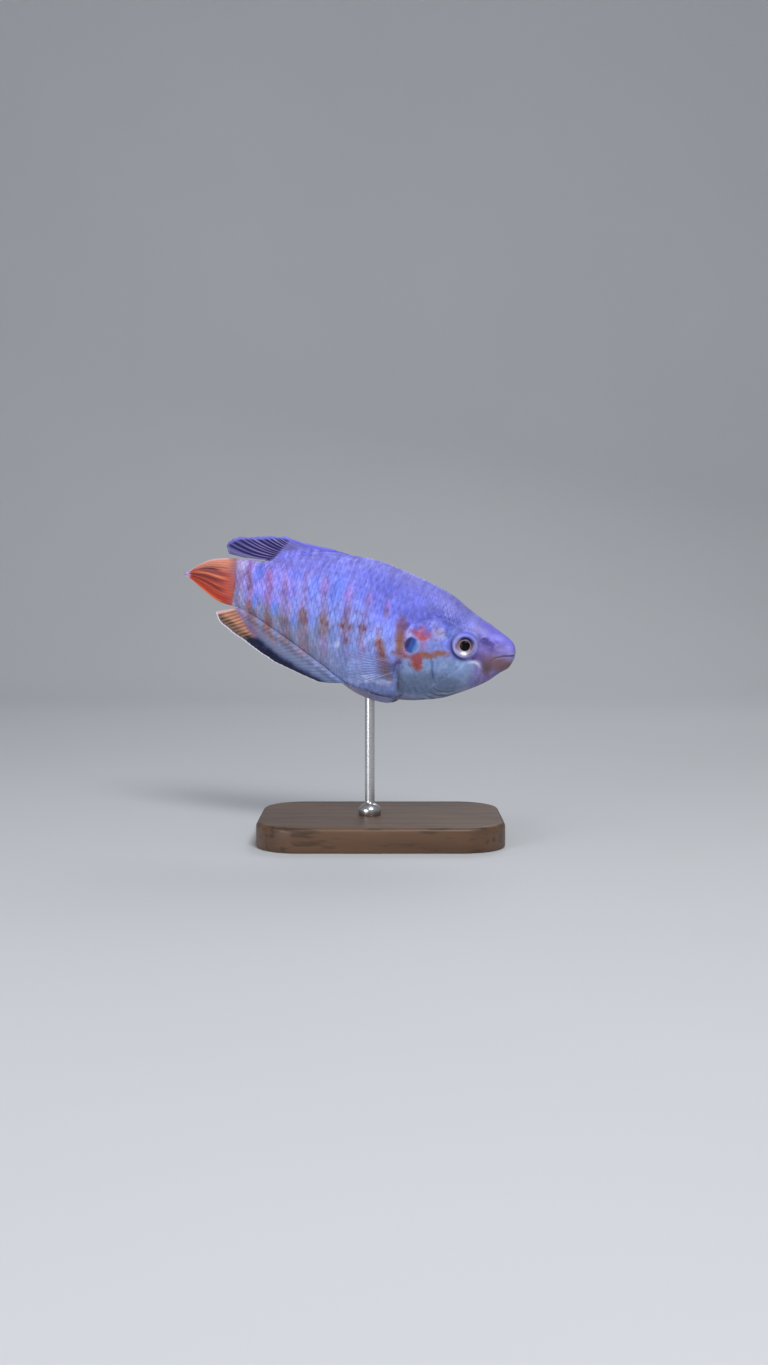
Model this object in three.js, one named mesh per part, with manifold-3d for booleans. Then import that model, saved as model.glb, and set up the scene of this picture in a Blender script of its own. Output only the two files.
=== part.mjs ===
// Paradise fish (an adult labyrinth fish, fins half folded), life size, turning gently away to its left,
// nose down, held over a flat base by one rod. Millimetres, +Z up. The fish faces +X and shows its right
// flank to -Y. The origin is the centre of the base's underside.
import * as THREE from "three";
import { mergeVertices } from "three/addons/utils/BufferGeometryUtils.js";
import Module from "manifold-3d";

// ---------- driving sizes ----------
const SL = 62; // standard length: snout to the root of the tail fin
const TAIL_FIN = 18; // tail fin length
const NOSE_DOWN = THREE.MathUtils.degToRad(13.8); // pitch of the whole fish
const HEADING = [8, 28, 52].map(THREE.MathUtils.degToRad); // how far the line of the body turns: snout, tail root, tail tip
const HEADING_POWER = 1.2;
const GAP = 0.3; // between touching solids
const FIN_T = 0.6; // fin plate thickness
const HEAD_END = 0.362, // cuts between head, trunk and tail, in standard lengths
  TRUNK_END = 0.8;
const EYE = { s: 0.162, z: -0.0226, r: 3.1, depth: 1.9, proud: 0.7 }; // centre in standard lengths, the rest in mm
const ROD = { s: 0.437, r: 1.0 };
const LIFT = 39; // snout tip above the floor
const BASE = { x: 50, y: 36, z: 5, corner: 9, bevel: 0.9 };
const COLLAR = { r: 2.3, z: 2.0 };

// named stations from snout to tail root, all in standard lengths:
// s, top, bottom, height of the widest line, half width, fullness above and below it
const STATIONS = [
  { at: "lips", s: 0, top: -0.015, bottom: -0.015, mid: -0.015, half: 0, up: 2.2, low: 2.2 },
  { at: "chin", s: 0.012, top: 0.02, bottom: -0.061, mid: -0.02, half: 0.027, up: 2.2, low: 2.2 },
  { at: "mouth corner", s: 0.035, top: 0.036, bottom: -0.083, mid: -0.024, half: 0.0385, up: 2.15, low: 2.1 },
  { at: "nostril", s: 0.07, top: 0.0515, bottom: -0.122, mid: -0.03, half: 0.0485, up: 2.1, low: 2.0 },
  { at: "front of eye", s: 0.12, top: 0.073, bottom: -0.16, mid: -0.035, half: 0.0585, up: 2.05, low: 1.95 },
  { at: "eye", s: 0.175, top: 0.0955, bottom: -0.195, mid: -0.042, half: 0.0665, up: 2.0, low: 1.95 },
  { at: "cheek", s: 0.25, top: 0.1315, bottom: -0.2285, mid: -0.055, half: 0.077, up: 1.95, low: 2.0 },
  { at: "gill cover", s: 0.33, top: 0.153, bottom: -0.2485, mid: -0.062, half: 0.084, up: 1.9, low: 2.1 },
  { at: "shoulder", s: 0.42, top: 0.169, bottom: -0.2535, mid: -0.052, half: 0.0835, up: 1.85, low: 2.1 },
  { at: "vent", s: 0.51, top: 0.181, bottom: -0.248, mid: -0.038, half: 0.079, up: 1.82, low: 1.95 },
  { at: "dorsal root", s: 0.63, top: 0.175, bottom: -0.203, mid: -0.02, half: 0.069, up: 1.8, low: 1.8 },
  { at: "flank", s: 0.74, top: 0.155, bottom: -0.163, mid: -0.01, half: 0.0555, up: 1.8, low: 1.78 },
  { at: "dorsal end", s: 0.84, top: 0.122, bottom: -0.130, mid: -0.005, half: 0.041, up: 1.85, low: 1.8 },
  { at: "tail stalk", s: 0.92, top: 0.089, bottom: -0.106, mid: -0.005, half: 0.0295, up: 1.95, low: 1.95 },
  { at: "tail root", s: 1, top: 0.077, bottom: -0.09, mid: -0.006, half: 0.019, up: 2.0, low: 2.0 },
];

// ---------- smooth curves through named points ----------
function smoothThrough(xs, ys) {
  const n = xs.length,
    m = [];
  for (let i = 0; i < n; i++) {
    const a = i ? (ys[i] - ys[i - 1]) / (xs[i] - xs[i - 1]) : null,
      b = i < n - 1 ? (ys[i + 1] - ys[i]) / (xs[i + 1] - xs[i]) : null;
    if (a === null) m.push(b);
    else if (b === null) m.push(a);
    else {
      const ha = xs[i] - xs[i - 1],
        hb = xs[i + 1] - xs[i];
      m.push((a * hb + b * ha) / (ha + hb));
    }
  }
  return (x) => {
    let i = 0;
    while (i < n - 2 && x > xs[i + 1]) i++;
    const h = xs[i + 1] - xs[i],
      t = (Math.min(Math.max(x, xs[0]), xs[n - 1]) - xs[i]) / h,
      t2 = t * t,
      t3 = t2 * t;
    return (
      ys[i] * (2 * t3 - 3 * t2 + 1) +
      h * m[i] * (t3 - 2 * t2 + t) +
      ys[i + 1] * (3 * t2 - 2 * t3) +
      h * m[i + 1] * (t3 - t2)
    );
  };
}
const roots = STATIONS.map((k) => Math.sqrt(k.s)); // knots in the square root, so that the lips close bluntly
const along = (key) => {
  const f = smoothThrough(roots, STATIONS.map((k) => k[key]));
  return (s) => f(Math.sqrt(Math.max(s, 0)));
};
const top = along("top"),
  bottom = along("bottom"),
  mid = along("mid"),
  half = along("half"),
  upPower = along("up"),
  lowPower = along("low");

// half thickness of the body at height z (mm), in mm
function sideAt(s, z) {
  const m = mid(s) * SL,
    above = z > m,
    h = (above ? top(s) * SL - m : m - bottom(s) * SL) || 1e-9,
    n = above ? upPower(s) : lowPower(s),
    k = Math.min(Math.abs(z - m) / h, 1);
  return half(s) * SL * Math.pow(1 - Math.pow(k, n), 1 / n);
}
// lowest height of the body at y from its middle plane
function underAt(s, y) {
  const n = lowPower(s),
    m = mid(s) * SL,
    k = Math.min(Math.abs(y) / (half(s) * SL), 1);
  return m - (m - bottom(s) * SL) * Math.pow(1 - Math.pow(k, n), 1 / n);
}

// ---------- the bent line of the body, seen from above ----------
function heading(s) {
  if (s <= 1) return HEADING[0] + (HEADING[1] - HEADING[0]) * Math.pow(Math.max(s, 0), HEADING_POWER);
  const t = Math.min(((s - 1) * SL) / TAIL_FIN, 1.2);
  return HEADING[1] + (HEADING[2] - HEADING[1]) * Math.pow(t, 0.9);
}
const STEP = 0.001;
const line = [[0, 0]];
for (let i = 1; i <= 1400; i++) {
  const a = heading((i - 0.5) * STEP);
  line.push([line[i - 1][0] - Math.cos(a) * STEP * SL, line[i - 1][1] + Math.sin(a) * STEP * SL]);
}
// stiff = true runs straight on past the tail root, as the dorsal and anal fins do
function spine(s, stiff) {
  if (stiff && s > 1) {
    const a = heading(1),
      e = line[1000];
    return [e[0] - Math.cos(a) * (s - 1) * SL, e[1] + Math.sin(a) * (s - 1) * SL, a];
  }
  const i = Math.min(Math.max(s, 0) / STEP, 1399),
    k = Math.floor(i),
    f = i - k;
  return [
    line[k][0] + (line[k + 1][0] - line[k][0]) * f,
    line[k][1] + (line[k + 1][1] - line[k][1]) * f,
    heading(s),
  ];
}
const anchor = new THREE.Vector3();
function place(s, y, z, stiff = false) {
  const [x0, y0, a] = spine(s, stiff),
    xb = x0 + y * Math.sin(a),
    yb = y0 + y * Math.cos(a);
  return new THREE.Vector3(
    xb * Math.cos(NOSE_DOWN) + z * Math.sin(NOSE_DOWN),
    yb,
    -xb * Math.sin(NOSE_DOWN) + z * Math.cos(NOSE_DOWN) + LIFT,
  ).sub(anchor);
}
{
  const foot = place(ROD.s, 0, 0); // the rod stands on the base's long middle line
  anchor.set(foot.x - 1.5, foot.y + 1.2, 0);
}

// ---------- solids from rings and plates ----------
function solid(points, faces) {
  const g = new THREE.BufferGeometry();
  g.setAttribute("position", new THREE.Float32BufferAttribute(points.flatMap((p) => [p.x, p.y, p.z]), 3));
  g.setIndex(faces.flat());
  let v = 0;
  for (const [a, b, c] of faces) v += points[a].dot(new THREE.Vector3().crossVectors(points[b], points[c]));
  if (v < 0) g.setIndex(faces.map(([a, b, c]) => [a, c, b]).flat());
  g.computeVertexNormals();
  return g;
}
const AROUND = 32;
function ringAt(s) {
  const w = half(s) * SL,
    m = mid(s) * SL,
    ht = top(s) * SL - m,
    hb = m - bottom(s) * SL;
  return Array.from({ length: AROUND }, (_, i) => {
    const a = (i / AROUND) * 2 * Math.PI,
      c = Math.cos(a),
      d = Math.sin(a),
      n = d > 0 ? upPower(s) : lowPower(s);
    return place(
      s,
      w * Math.sign(c) * Math.pow(Math.abs(c), 2 / n),
      m + (d > 0 ? ht : hb) * Math.sign(d) * Math.pow(Math.abs(d), 2 / n),
    );
  });
}
function loft(sections, capStart, capEnd) {
  const points = [capStart, ...sections.flat(), capEnd],
    n = AROUND,
    faces = [],
    at = (i, j) => 1 + i * n + ((j + n) % n),
    last = points.length - 1;
  for (let j = 0; j < n; j++) {
    faces.push([0, at(0, j + 1), at(0, j)]);
    for (let i = 0; i < sections.length - 1; i++)
      faces.push([at(i, j), at(i, j + 1), at(i + 1, j + 1)], [at(i, j), at(i + 1, j + 1), at(i + 1, j)]);
    faces.push([last, at(sections.length - 1, j), at(sections.length - 1, j + 1)]);
  }
  return solid(points, faces);
}
function bodyPart(from, to, rings, blunt) {
  const cut = GAP / 2 / SL,
    a = blunt ? 0 : from + cut,
    b = to < 1 ? to - cut : to,
    list = Array.from({ length: rings }, (_, i) =>
      blunt ? b * Math.pow((i + 1) / rings, 2 - 0.7 * ((i + 1) / rings)) : a + ((b - a) * i) / (rings - 1),
    );
  return loft(list.map(ringAt), place(a, 0, mid(a) * SL), place(b, 0, mid(b) * SL));
}
// at(u, v) gives [point, unit normal, half thickness]; the plate closes all round
function plate(at, nu, nv) {
  const points = [],
    faces = [];
  for (const side of [1, -1])
    for (let i = 0; i <= nu; i++)
      for (let j = 0; j <= nv; j++) {
        const [p, n, t] = at(i / nu, j / nv);
        points.push(p.clone().addScaledVector(n, side * t));
      }
  const half = (nu + 1) * (nv + 1),
    id = (i, j, k) => k * half + i * (nv + 1) + j;
  for (let i = 0; i < nu; i++)
    for (let j = 0; j < nv; j++) {
      faces.push([id(i, j, 0), id(i + 1, j, 0), id(i + 1, j + 1, 0)], [id(i, j, 0), id(i + 1, j + 1, 0), id(i, j + 1, 0)]);
      faces.push([id(i, j, 1), id(i + 1, j + 1, 1), id(i + 1, j, 1)], [id(i, j, 1), id(i, j + 1, 1), id(i + 1, j + 1, 1)]);
    }
  const rim = [];
  for (let i = 0; i < nu; i++) rim.push([i, 0]);
  for (let j = 0; j < nv; j++) rim.push([nu, j]);
  for (let i = nu; i > 0; i--) rim.push([i, nv]);
  for (let j = nv; j > 0; j--) rim.push([0, j]);
  rim.forEach(([i, j], k) => {
    const [a, b] = rim[(k + 1) % rim.length];
    faces.push([id(i, j, 0), id(i, j, 1), id(a, b, 1)], [id(i, j, 0), id(a, b, 1), id(a, b, 0)]);
  });
  return solid(points, faces);
}
const across = (s, stiff) => {
  const a = spine(s, stiff)[2];
  return new THREE.Vector3(Math.sin(a), Math.cos(a), 0).normalize();
};

// ---------- fins ----------
const path = (...keys) => {
  const xs = keys.map((k) => k[0]);
  return keys[0].slice(1).map((_, j) => smoothThrough(xs, keys.map((k) => k[j + 1])));
};
// rays: a ray's number from 0 to 1, then where it roots, as s, and where it ends, as s and height;
// each one leaves its root at a steeper slope than the fin's edge runs, or the plate would fold over itself
// bow: how far a ray arches upwards, in its own lengths
const DORSAL = { bow: (u) => -0.01 - 0.05 * u, rays: path([0, 0.61, 0.628, 0.1815], [0.12, 0.642, 0.69, 0.1793], [0.25, 0.676, 0.77, 0.1778], [0.5, 0.737, 0.875, 0.1808], [0.7, 0.783, 0.96, 0.1635], [0.84, 0.829, 1.042, 0.1425], [0.91, 0.857, 1.077, 0.122], [0.96, 0.8785, 1.08, 0.1], [1, 0.896, 1.06, 0.076]) };
const ANAL = { bow: (u) => 0.05 * u - 0.05, rays: path([0, 0.505, 0.56, -0.268], [0.25, 0.556, 0.685, -0.252], [0.5, 0.659, 0.81, -0.232], [0.72, 0.781, 0.9, -0.204], [0.88, 0.886, 0.998, -0.1695], [0.95, 0.935, 1.04, -0.152], [1, 0.972, 1.064, -0.1235]) };
function medianFin(fin, root, side, nu, nv) {
  return plate((u, v) => {
    const sb = fin.rays[0](u),
      zb = root(sb) * SL + side * GAP,
      st = fin.rays[1](u),
      zt = fin.rays[2](u) * SL,
      s = sb + (st - sb) * v,
      z = zb + (zt - zb) * v + fin.bow(u) * Math.sin(Math.PI * v) * Math.hypot((st - sb) * SL, zt - zb),
      off = GAP + (0.6 - 0.35 * u) * v, // a ray that lies along the body still rises off it, above the rays behind
      clear = side > 0 ? Math.max(z, root(Math.min(s, 1)) * SL + off) : Math.min(z, root(Math.min(s, 1)) * SL - off);
    return [place(s, 0, clear, true), across(s, true), FIN_T / 2];
  }, nu, nv);
}
const TAIL = {
  upper: smoothThrough([0, 0.3, 0.56, 0.8, 1], [0.0755, 0.0625, 0.043, 0.0085, -0.026]),
  lower: smoothThrough([0, 0.21, 0.59, 0.85, 1], [-0.0895, -0.088, -0.057, -0.036, -0.031]),
};
const tailFin = plate((u, v) => {
  const t = GAP / TAIL_FIN + v * (0.96 - GAP / TAIL_FIN),
    e = t / 0.96,
    z = (TAIL.upper(e) * (1 - u) + TAIL.lower(e) * u) * SL,
    s = 1 + (t * TAIL_FIN) / SL;
  return [place(s, 0, z), across(s), FIN_T / 2 + 0.45 * Math.pow(1 - v, 3)];
}, 12, 12);

const PECTORAL = { s: 0.353, high: -0.121, low: -0.168, reach: 9.4, up: 5, down: -35, stand: 24 };
function pectoral(side) {
  const out = THREE.MathUtils.degToRad(PECTORAL.stand);
  return plate((u, v) => {
    const a = THREE.MathUtils.degToRad(PECTORAL.up + (PECTORAL.down - PECTORAL.up) * u),
      reach = PECTORAL.reach * (0.8 + 0.2 * Math.sin(Math.PI * (0.12 + 0.76 * u))) * v,
      along = Math.cos(out) * reach,
      z = (PECTORAL.high + (PECTORAL.low - PECTORAL.high) * u) * SL + Math.sin(a) * along,
      s = PECTORAL.s + (Math.cos(a) * along) / SL,
      flank = sideAt(s, z) + GAP + FIN_T / 2 + 0.1,
      y = Math.max(flank, sideAt(PECTORAL.s, PECTORAL.high * SL) + GAP + FIN_T / 2 + 0.1 + Math.sin(out) * reach);
    return [place(s, side * y, z), across(s), FIN_T / 2];
  }, 8, 8);
}
const PELVIC = { s: 0.322, y: 1.9, reach: 12.4, root: 1.5, tip: 0.5 };
function pelvic(side) {
  return plate((u, v) => {
    const s = PELVIC.s + (PELVIC.reach * v) / SL,
      y = PELVIC.y,
      tall = PELVIC.root * (1 - v) + PELVIC.tip * v + 0.5 * Math.sin(Math.PI * v),
      z = underAt(s, y - FIN_T / 2) - GAP - 0.12 - tall * u - 0.2 * v;
    return [place(s, side * y, z), across(s), 0.27];
  }, 3, 9);
}

// ---------- eyes and their sockets ----------
function eyeball(side, grow) {
  const g = new THREE.SphereGeometry(1, 20, 12).toNonIndexed(),
    [, , a] = spine(EYE.s),
    r = EYE.r + grow,
    d = EYE.depth + grow,
    z = EYE.z * SL,
    y = sideAt(EYE.s, z) + EYE.proud - EYE.depth;
  g.rotateX(Math.PI / 2); // poles face sideways
  const taper = THREE.MathUtils.degToRad(8); // the side of the head narrows forwards
  g.scale(r, r, r);
  const p = g.getAttribute("position");
  const c = place(EYE.s, side * y, z);
  for (let i = 0; i < p.count; i++) {
    // x forward, z outward before turning
    const fwd = p.getX(i),
      up = p.getY(i),
      out = (p.getZ(i) / r) * d,
      f = fwd * Math.cos(taper) + out * Math.sin(taper),
      o = -fwd * Math.sin(taper) + out * Math.cos(taper);
    const xb = f * Math.cos(a) + side * o * Math.sin(a),
      yb = -f * Math.sin(a) + side * o * Math.cos(a);
    p.setXYZ(
      i,
      c.x + xb * Math.cos(NOSE_DOWN) + up * Math.sin(NOSE_DOWN),
      c.y + yb,
      c.z - xb * Math.sin(NOSE_DOWN) + up * Math.cos(NOSE_DOWN),
    );
  }
  g.deleteAttribute("normal");
  g.deleteAttribute("uv");
  const m = mergeVertices(g, 1e-4);
  // the poles leave triangles with no area: drop them
  const keep = [];
  for (let i = 0; i < m.index.count; i += 3) {
    const [x, y2, w] = [m.index.getX(i), m.index.getX(i + 1), m.index.getX(i + 2)];
    if (x !== y2 && y2 !== w && w !== x) keep.push([x, y2, w]);
  }
  const points = [];
  for (let i = 0; i < m.getAttribute("position").count; i++)
    points.push(new THREE.Vector3().fromBufferAttribute(m.getAttribute("position"), i));
  return solid(points, keep);
}
const wasm = await Module();
wasm.setup();
function toSolid(geometry) {
  const g = geometry.clone();
  g.deleteAttribute("normal");
  if (g.getAttribute("uv")) g.deleteAttribute("uv");
  const m = mergeVertices(g, 1e-4);
  return new wasm.Manifold(
    new wasm.Mesh({ numProp: 3, vertProperties: m.attributes.position.array, triVerts: new Uint32Array(m.index.array) }),
  );
}
function toGeometry(manifold) {
  const m = manifold.getMesh(),
    g = new THREE.BufferGeometry();
  g.setAttribute("position", new THREE.Float32BufferAttribute(m.vertProperties, 3));
  g.setIndex(Array.from(m.triVerts));
  g.computeVertexNormals();
  return g;
}

// ---------- stand ----------
function roundedPlate({ x, y, z, corner, bevel }) {
  const w = x / 2 - bevel,
    h = y / 2 - bevel,
    r = corner - bevel,
    shape = new THREE.Shape();
  shape.moveTo(-w + r, -h);
  shape.lineTo(w - r, -h);
  shape.absarc(w - r, -h + r, r, -Math.PI / 2, 0);
  shape.lineTo(w, h - r);
  shape.absarc(w - r, h - r, r, 0, Math.PI / 2);
  shape.lineTo(-w + r, h);
  shape.absarc(-w + r, h - r, r, Math.PI / 2, Math.PI);
  shape.lineTo(-w, -h + r);
  shape.absarc(-w + r, -h + r, r, Math.PI, Math.PI * 1.5);
  const g = new THREE.ExtrudeGeometry(shape, {
    depth: z - 2 * bevel,
    bevelEnabled: true,
    bevelThickness: bevel,
    bevelSize: bevel,
    bevelSegments: 2,
    curveSegments: 8,
  });
  g.translate(0, 0, bevel);
  return g;
}
const rodFoot = place(ROD.s, 0, 0);
const rodX = rodFoot.x + bottom(ROD.s) * SL * Math.sin(NOSE_DOWN);
const rodTop = (() => {
  // climb the vertical line of the rod until it meets the belly's underside
  let lowest = Infinity;
  for (let s = ROD.s - 0.06; s <= ROD.s + 0.08; s += 0.001) {
    const p = place(s, 0, bottom(s) * SL);
    if (Math.abs(p.x - rodX) < ROD.r + 0.15) lowest = Math.min(lowest, p.z);
  }
  return lowest - GAP;
})();
const rodProfile = [
  [0, BASE.z + GAP],
  [COLLAR.r, BASE.z + GAP],
  [COLLAR.r, BASE.z + GAP + COLLAR.z * 0.6],
  [COLLAR.r * 0.75, BASE.z + GAP + COLLAR.z],
  [ROD.r, BASE.z + GAP + COLLAR.z],
  [ROD.r, rodTop],
  [0, rodTop],
].map(([x, y]) => new THREE.Vector2(x, y));
const rodGeometry = new THREE.LatheGeometry(rodProfile, 20);
rodGeometry.rotateX(Math.PI / 2);
rodGeometry.translate(rodX, rodFoot.y, 0);

// ---------- the scene graph ----------
const finish = {
  skin: new THREE.MeshStandardMaterial({ color: 0x8f93d8, roughness: 0.38, metalness: 0.1 }),
  eye: new THREE.MeshStandardMaterial({ color: 0xb9b4c4, roughness: 0.12, metalness: 0.2 }),
  darkFin: new THREE.MeshStandardMaterial({ color: 0x4b4a78, roughness: 0.45, metalness: 0 }),
  redFin: new THREE.MeshStandardMaterial({ color: 0xb9482b, roughness: 0.45, metalness: 0 }),
  amberFin: new THREE.MeshStandardMaterial({ color: 0x9c7f55, roughness: 0.45, metalness: 0 }),
  clearFin: new THREE.MeshStandardMaterial({ color: 0xc9c7d6, roughness: 0.3, metalness: 0 }),
  base: new THREE.MeshStandardMaterial({ color: 0xc9c6bf, roughness: 0.6, metalness: 0 }),
  rod: new THREE.MeshStandardMaterial({ color: 0xb8b9bd, roughness: 0.3, metalness: 1 }),
};
const fish = new THREE.Group();
function add(name, geometry, material) {
  const mesh = new THREE.Mesh(geometry, material);
  mesh.name = name;
  fish.add(mesh);
  return mesh;
}
let head = toSolid(bodyPart(0, HEAD_END, 22, true));
for (const side of [1, -1]) head = head.subtract(toSolid(eyeball(side, GAP)));
add("head", toGeometry(head), finish.skin);
add("trunk", bodyPart(HEAD_END, TRUNK_END, 22), finish.skin);
add("tail", bodyPart(TRUNK_END, 1, 11), finish.skin);
add("eye_left", eyeball(1, 0), finish.eye);
add("eye_right", eyeball(-1, 0), finish.eye);
add("dorsal_fin", medianFin(DORSAL, top, 1, 20, 8), finish.darkFin);
add("anal_fin", medianFin(ANAL, bottom, -1, 26, 8), finish.amberFin);
add("caudal_fin", tailFin, finish.redFin);
add("pectoral_fin_left", pectoral(1), finish.clearFin);
add("pectoral_fin_right", pectoral(-1), finish.clearFin);
add("pelvic_fin_left", pelvic(1), finish.clearFin);
add("pelvic_fin_right", pelvic(-1), finish.clearFin);
add("stand_rod", rodGeometry, finish.rod);
add("stand_base", roundedPlate(BASE), finish.base);

export default fish;
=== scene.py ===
import math

import bpy
import numpy as np
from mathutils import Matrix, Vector


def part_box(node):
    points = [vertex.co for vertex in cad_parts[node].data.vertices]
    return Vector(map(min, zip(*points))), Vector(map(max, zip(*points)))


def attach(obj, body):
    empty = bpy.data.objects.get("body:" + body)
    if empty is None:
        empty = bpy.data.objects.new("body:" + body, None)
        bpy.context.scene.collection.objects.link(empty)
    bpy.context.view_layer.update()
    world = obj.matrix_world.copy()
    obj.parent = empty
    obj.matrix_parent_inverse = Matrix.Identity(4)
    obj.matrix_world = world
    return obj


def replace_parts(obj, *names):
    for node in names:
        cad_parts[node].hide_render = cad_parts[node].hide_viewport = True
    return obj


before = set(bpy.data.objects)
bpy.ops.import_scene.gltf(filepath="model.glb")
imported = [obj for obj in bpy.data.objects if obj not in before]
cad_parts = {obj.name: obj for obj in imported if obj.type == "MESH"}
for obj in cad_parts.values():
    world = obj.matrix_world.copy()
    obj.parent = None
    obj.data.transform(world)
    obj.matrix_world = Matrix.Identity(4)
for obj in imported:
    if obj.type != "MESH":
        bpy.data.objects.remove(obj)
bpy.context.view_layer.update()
MM = 0.001
scene = bpy.context.scene

# ---------------------------------------------------------------- sizes, as in the frame
SL = 62.0  # standard length
TAIL_FIN = 18.0
PITCH = math.radians(13.8)
HEADING = [math.radians(v) for v in (8, 28, 52)]
HEADING_POWER = 1.2
LIFT = 39.0
ROD_S, ROD_R = 0.437, 1.0
BASE = dict(x=50.0, y=36.0, z=5.0, corner=9.0, bevel=0.9)
# s, top, bottom, widest height, half width, fullness above, fullness below (standard lengths)
STATIONS = np.array(
    [
        (0, -0.015, -0.015, -0.015, 0, 2.2, 2.2),
        (0.012, 0.02, -0.061, -0.02, 0.027, 2.2, 2.2),
        (0.035, 0.036, -0.083, -0.024, 0.0385, 2.15, 2.1),
        (0.07, 0.0515, -0.122, -0.03, 0.0485, 2.1, 2.0),
        (0.12, 0.073, -0.16, -0.035, 0.0585, 2.05, 1.95),
        (0.175, 0.0955, -0.195, -0.042, 0.0665, 2.0, 1.95),
        (0.25, 0.1315, -0.2285, -0.055, 0.077, 1.95, 2.0),
        (0.33, 0.153, -0.2485, -0.062, 0.084, 1.9, 2.1),
        (0.42, 0.169, -0.2535, -0.052, 0.0835, 1.85, 2.1),
        (0.51, 0.181, -0.248, -0.038, 0.079, 1.82, 1.95),
        (0.63, 0.175, -0.203, -0.02, 0.069, 1.8, 1.8),
        (0.74, 0.155, -0.163, -0.01, 0.0555, 1.8, 1.78),
        (0.84, 0.122, -0.13, -0.005, 0.041, 1.85, 1.8),
        (0.92, 0.089, -0.106, -0.005, 0.0295, 1.95, 1.95),
        (1.0, 0.077, -0.09, -0.006, 0.019, 2.0, 2.0),
        (1.045, 0.0655, -0.088, -0.008, 0.0055, 2.4, 2.4),  # the skin runs a little way onto the tail fin
    ]
)
S_END = 1.045
COAT = 0.22  # how deep the skin lies under the frame where scales cover it


def smooth_through(xs, ys):
    xs, ys = np.asarray(xs, float), np.asarray(ys, float)
    n, h = len(xs), np.diff(xs)
    sl = np.diff(ys) / h
    m = np.empty(n)
    m[0], m[-1] = sl[0], sl[-1]
    m[1:-1] = (sl[:-1] * h[1:] + sl[1:] * h[:-1]) / (h[:-1] + h[1:])

    def f(x):
        x = np.clip(np.asarray(x, float), xs[0], xs[-1])
        i = np.clip(np.searchsorted(xs, x, side="right") - 1, 0, n - 2)
        t = (x - xs[i]) / h[i]
        t2, t3 = t * t, t * t * t
        return ys[i] * (2 * t3 - 3 * t2 + 1) + h[i] * m[i] * (t3 - 2 * t2 + t) + ys[i + 1] * (3 * t2 - 2 * t3) + h[i] * m[i + 1] * (t3 - t2)

    return f


_knots = np.sqrt(STATIONS[:, 0])
_f = [smooth_through(_knots, STATIONS[:, k]) for k in range(1, 7)]
top, bottom, mid, half, up_power, low_power = [(lambda s, f=f: f(np.sqrt(np.maximum(s, 0)))) for f in _f]


def heading(s):
    s = np.asarray(s, float)
    t = np.clip((s - 1) * SL / TAIL_FIN, 0, 1.2)
    body = HEADING[0] + (HEADING[1] - HEADING[0]) * np.clip(s, 0, 1) ** HEADING_POWER
    return np.where(s <= 1, body, HEADING[1] + (HEADING[2] - HEADING[1]) * t**0.9)


STEP = 0.001
_mid = (np.arange(1400) + 0.5) * STEP
_LX = np.concatenate([[0], -np.cumsum(np.cos(heading(_mid)) * STEP * SL)])
_LY = np.concatenate([[0], np.cumsum(np.sin(heading(_mid)) * STEP * SL)])
_LS = np.arange(1401) * STEP
_END = float(heading(1.0))


def spine(s, stiff=False):
    s = np.asarray(s, float)
    x, y, a = np.interp(s, _LS, _LX), np.interp(s, _LS, _LY), heading(s)
    if stiff:  # the median fins run straight on past the tail root
        past = s > 1
        x = np.where(past, _LX[1000] - math.cos(_END) * (s - 1) * SL, x)
        y = np.where(past, _LY[1000] + math.sin(_END) * (s - 1) * SL, y)
        a = np.where(past, _END, a)
    return x, y, a


ANCHOR = np.zeros(3)


def place(s, y, z, stiff=False):
    x0, y0, a = spine(s, stiff)
    xb, yb = x0 + y * np.sin(a), y0 + y * np.cos(a)
    p = np.stack(
        [
            xb * math.cos(PITCH) + z * math.sin(PITCH),
            yb + 0 * z,
            -xb * math.sin(PITCH) + z * math.cos(PITCH) + LIFT,
        ],
        -1,
    )
    return p - ANCHOR


_foot = place(ROD_S, 0.0, 0.0)
ANCHOR = np.array([_foot[0] - 1.5, _foot[1] + 1.2, 0.0])
SNOUT = place(0.0, 0.0, 0.0)


def across(s, stiff=False):
    a = spine(s, stiff)[2]
    return np.stack([np.sin(a), np.cos(a), 0 * a], -1)


def smoothstep(a, b, x):
    t = np.clip((np.asarray(x, float) - a) / (b - a), 0, 1)
    return t * t * (3 - 2 * t)


def bell(x, width):
    return np.exp(-((np.asarray(x, float) / width) ** 2))


def _hash(ix, iy, seed):
    v = np.sin(ix * 127.1 + iy * 311.7 + seed * 74.7) * 43758.5453
    return v - np.floor(v)


def noise(x, y, seed=0.0):
    """smooth value noise, 0 to 1"""
    x, y = np.asarray(x, float), np.asarray(y, float)
    ix, iy = np.floor(x), np.floor(y)
    fx, fy = x - ix, y - iy
    fx, fy = fx * fx * (3 - 2 * fx), fy * fy * (3 - 2 * fy)
    a, b = _hash(ix, iy, seed), _hash(ix + 1, iy, seed)
    c, d = _hash(ix, iy + 1, seed), _hash(ix + 1, iy + 1, seed)
    return a + (b - a) * fx + (c - a) * fy + (a - b - c + d) * fx * fy


def cloud(x, y, seed=0.0):
    return 0.55 * noise(x, y, seed) + 0.3 * noise(2.1 * x + 5.2, 2.1 * y + 1.3, seed + 3) + 0.15 * noise(4.3 * x, 4.3 * y, seed + 7)


# ---------------------------------------------------------------- the body's surface
def section(s, a):
    """half breadth and height in mm at angle a from the widest line, -90 deg at the belly to +90 deg at the back"""
    c, d = np.cos(a), np.sin(a)
    m = mid(s) * SL
    n = np.where(d > 0, up_power(s), low_power(s))
    h = np.where(d > 0, top(s) * SL - m, m - bottom(s) * SL)
    y = half(s) * SL * np.abs(c) ** (2 / n)
    z = m + h * np.sign(d) * np.abs(d) ** (2 / n)
    return y, z


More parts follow.
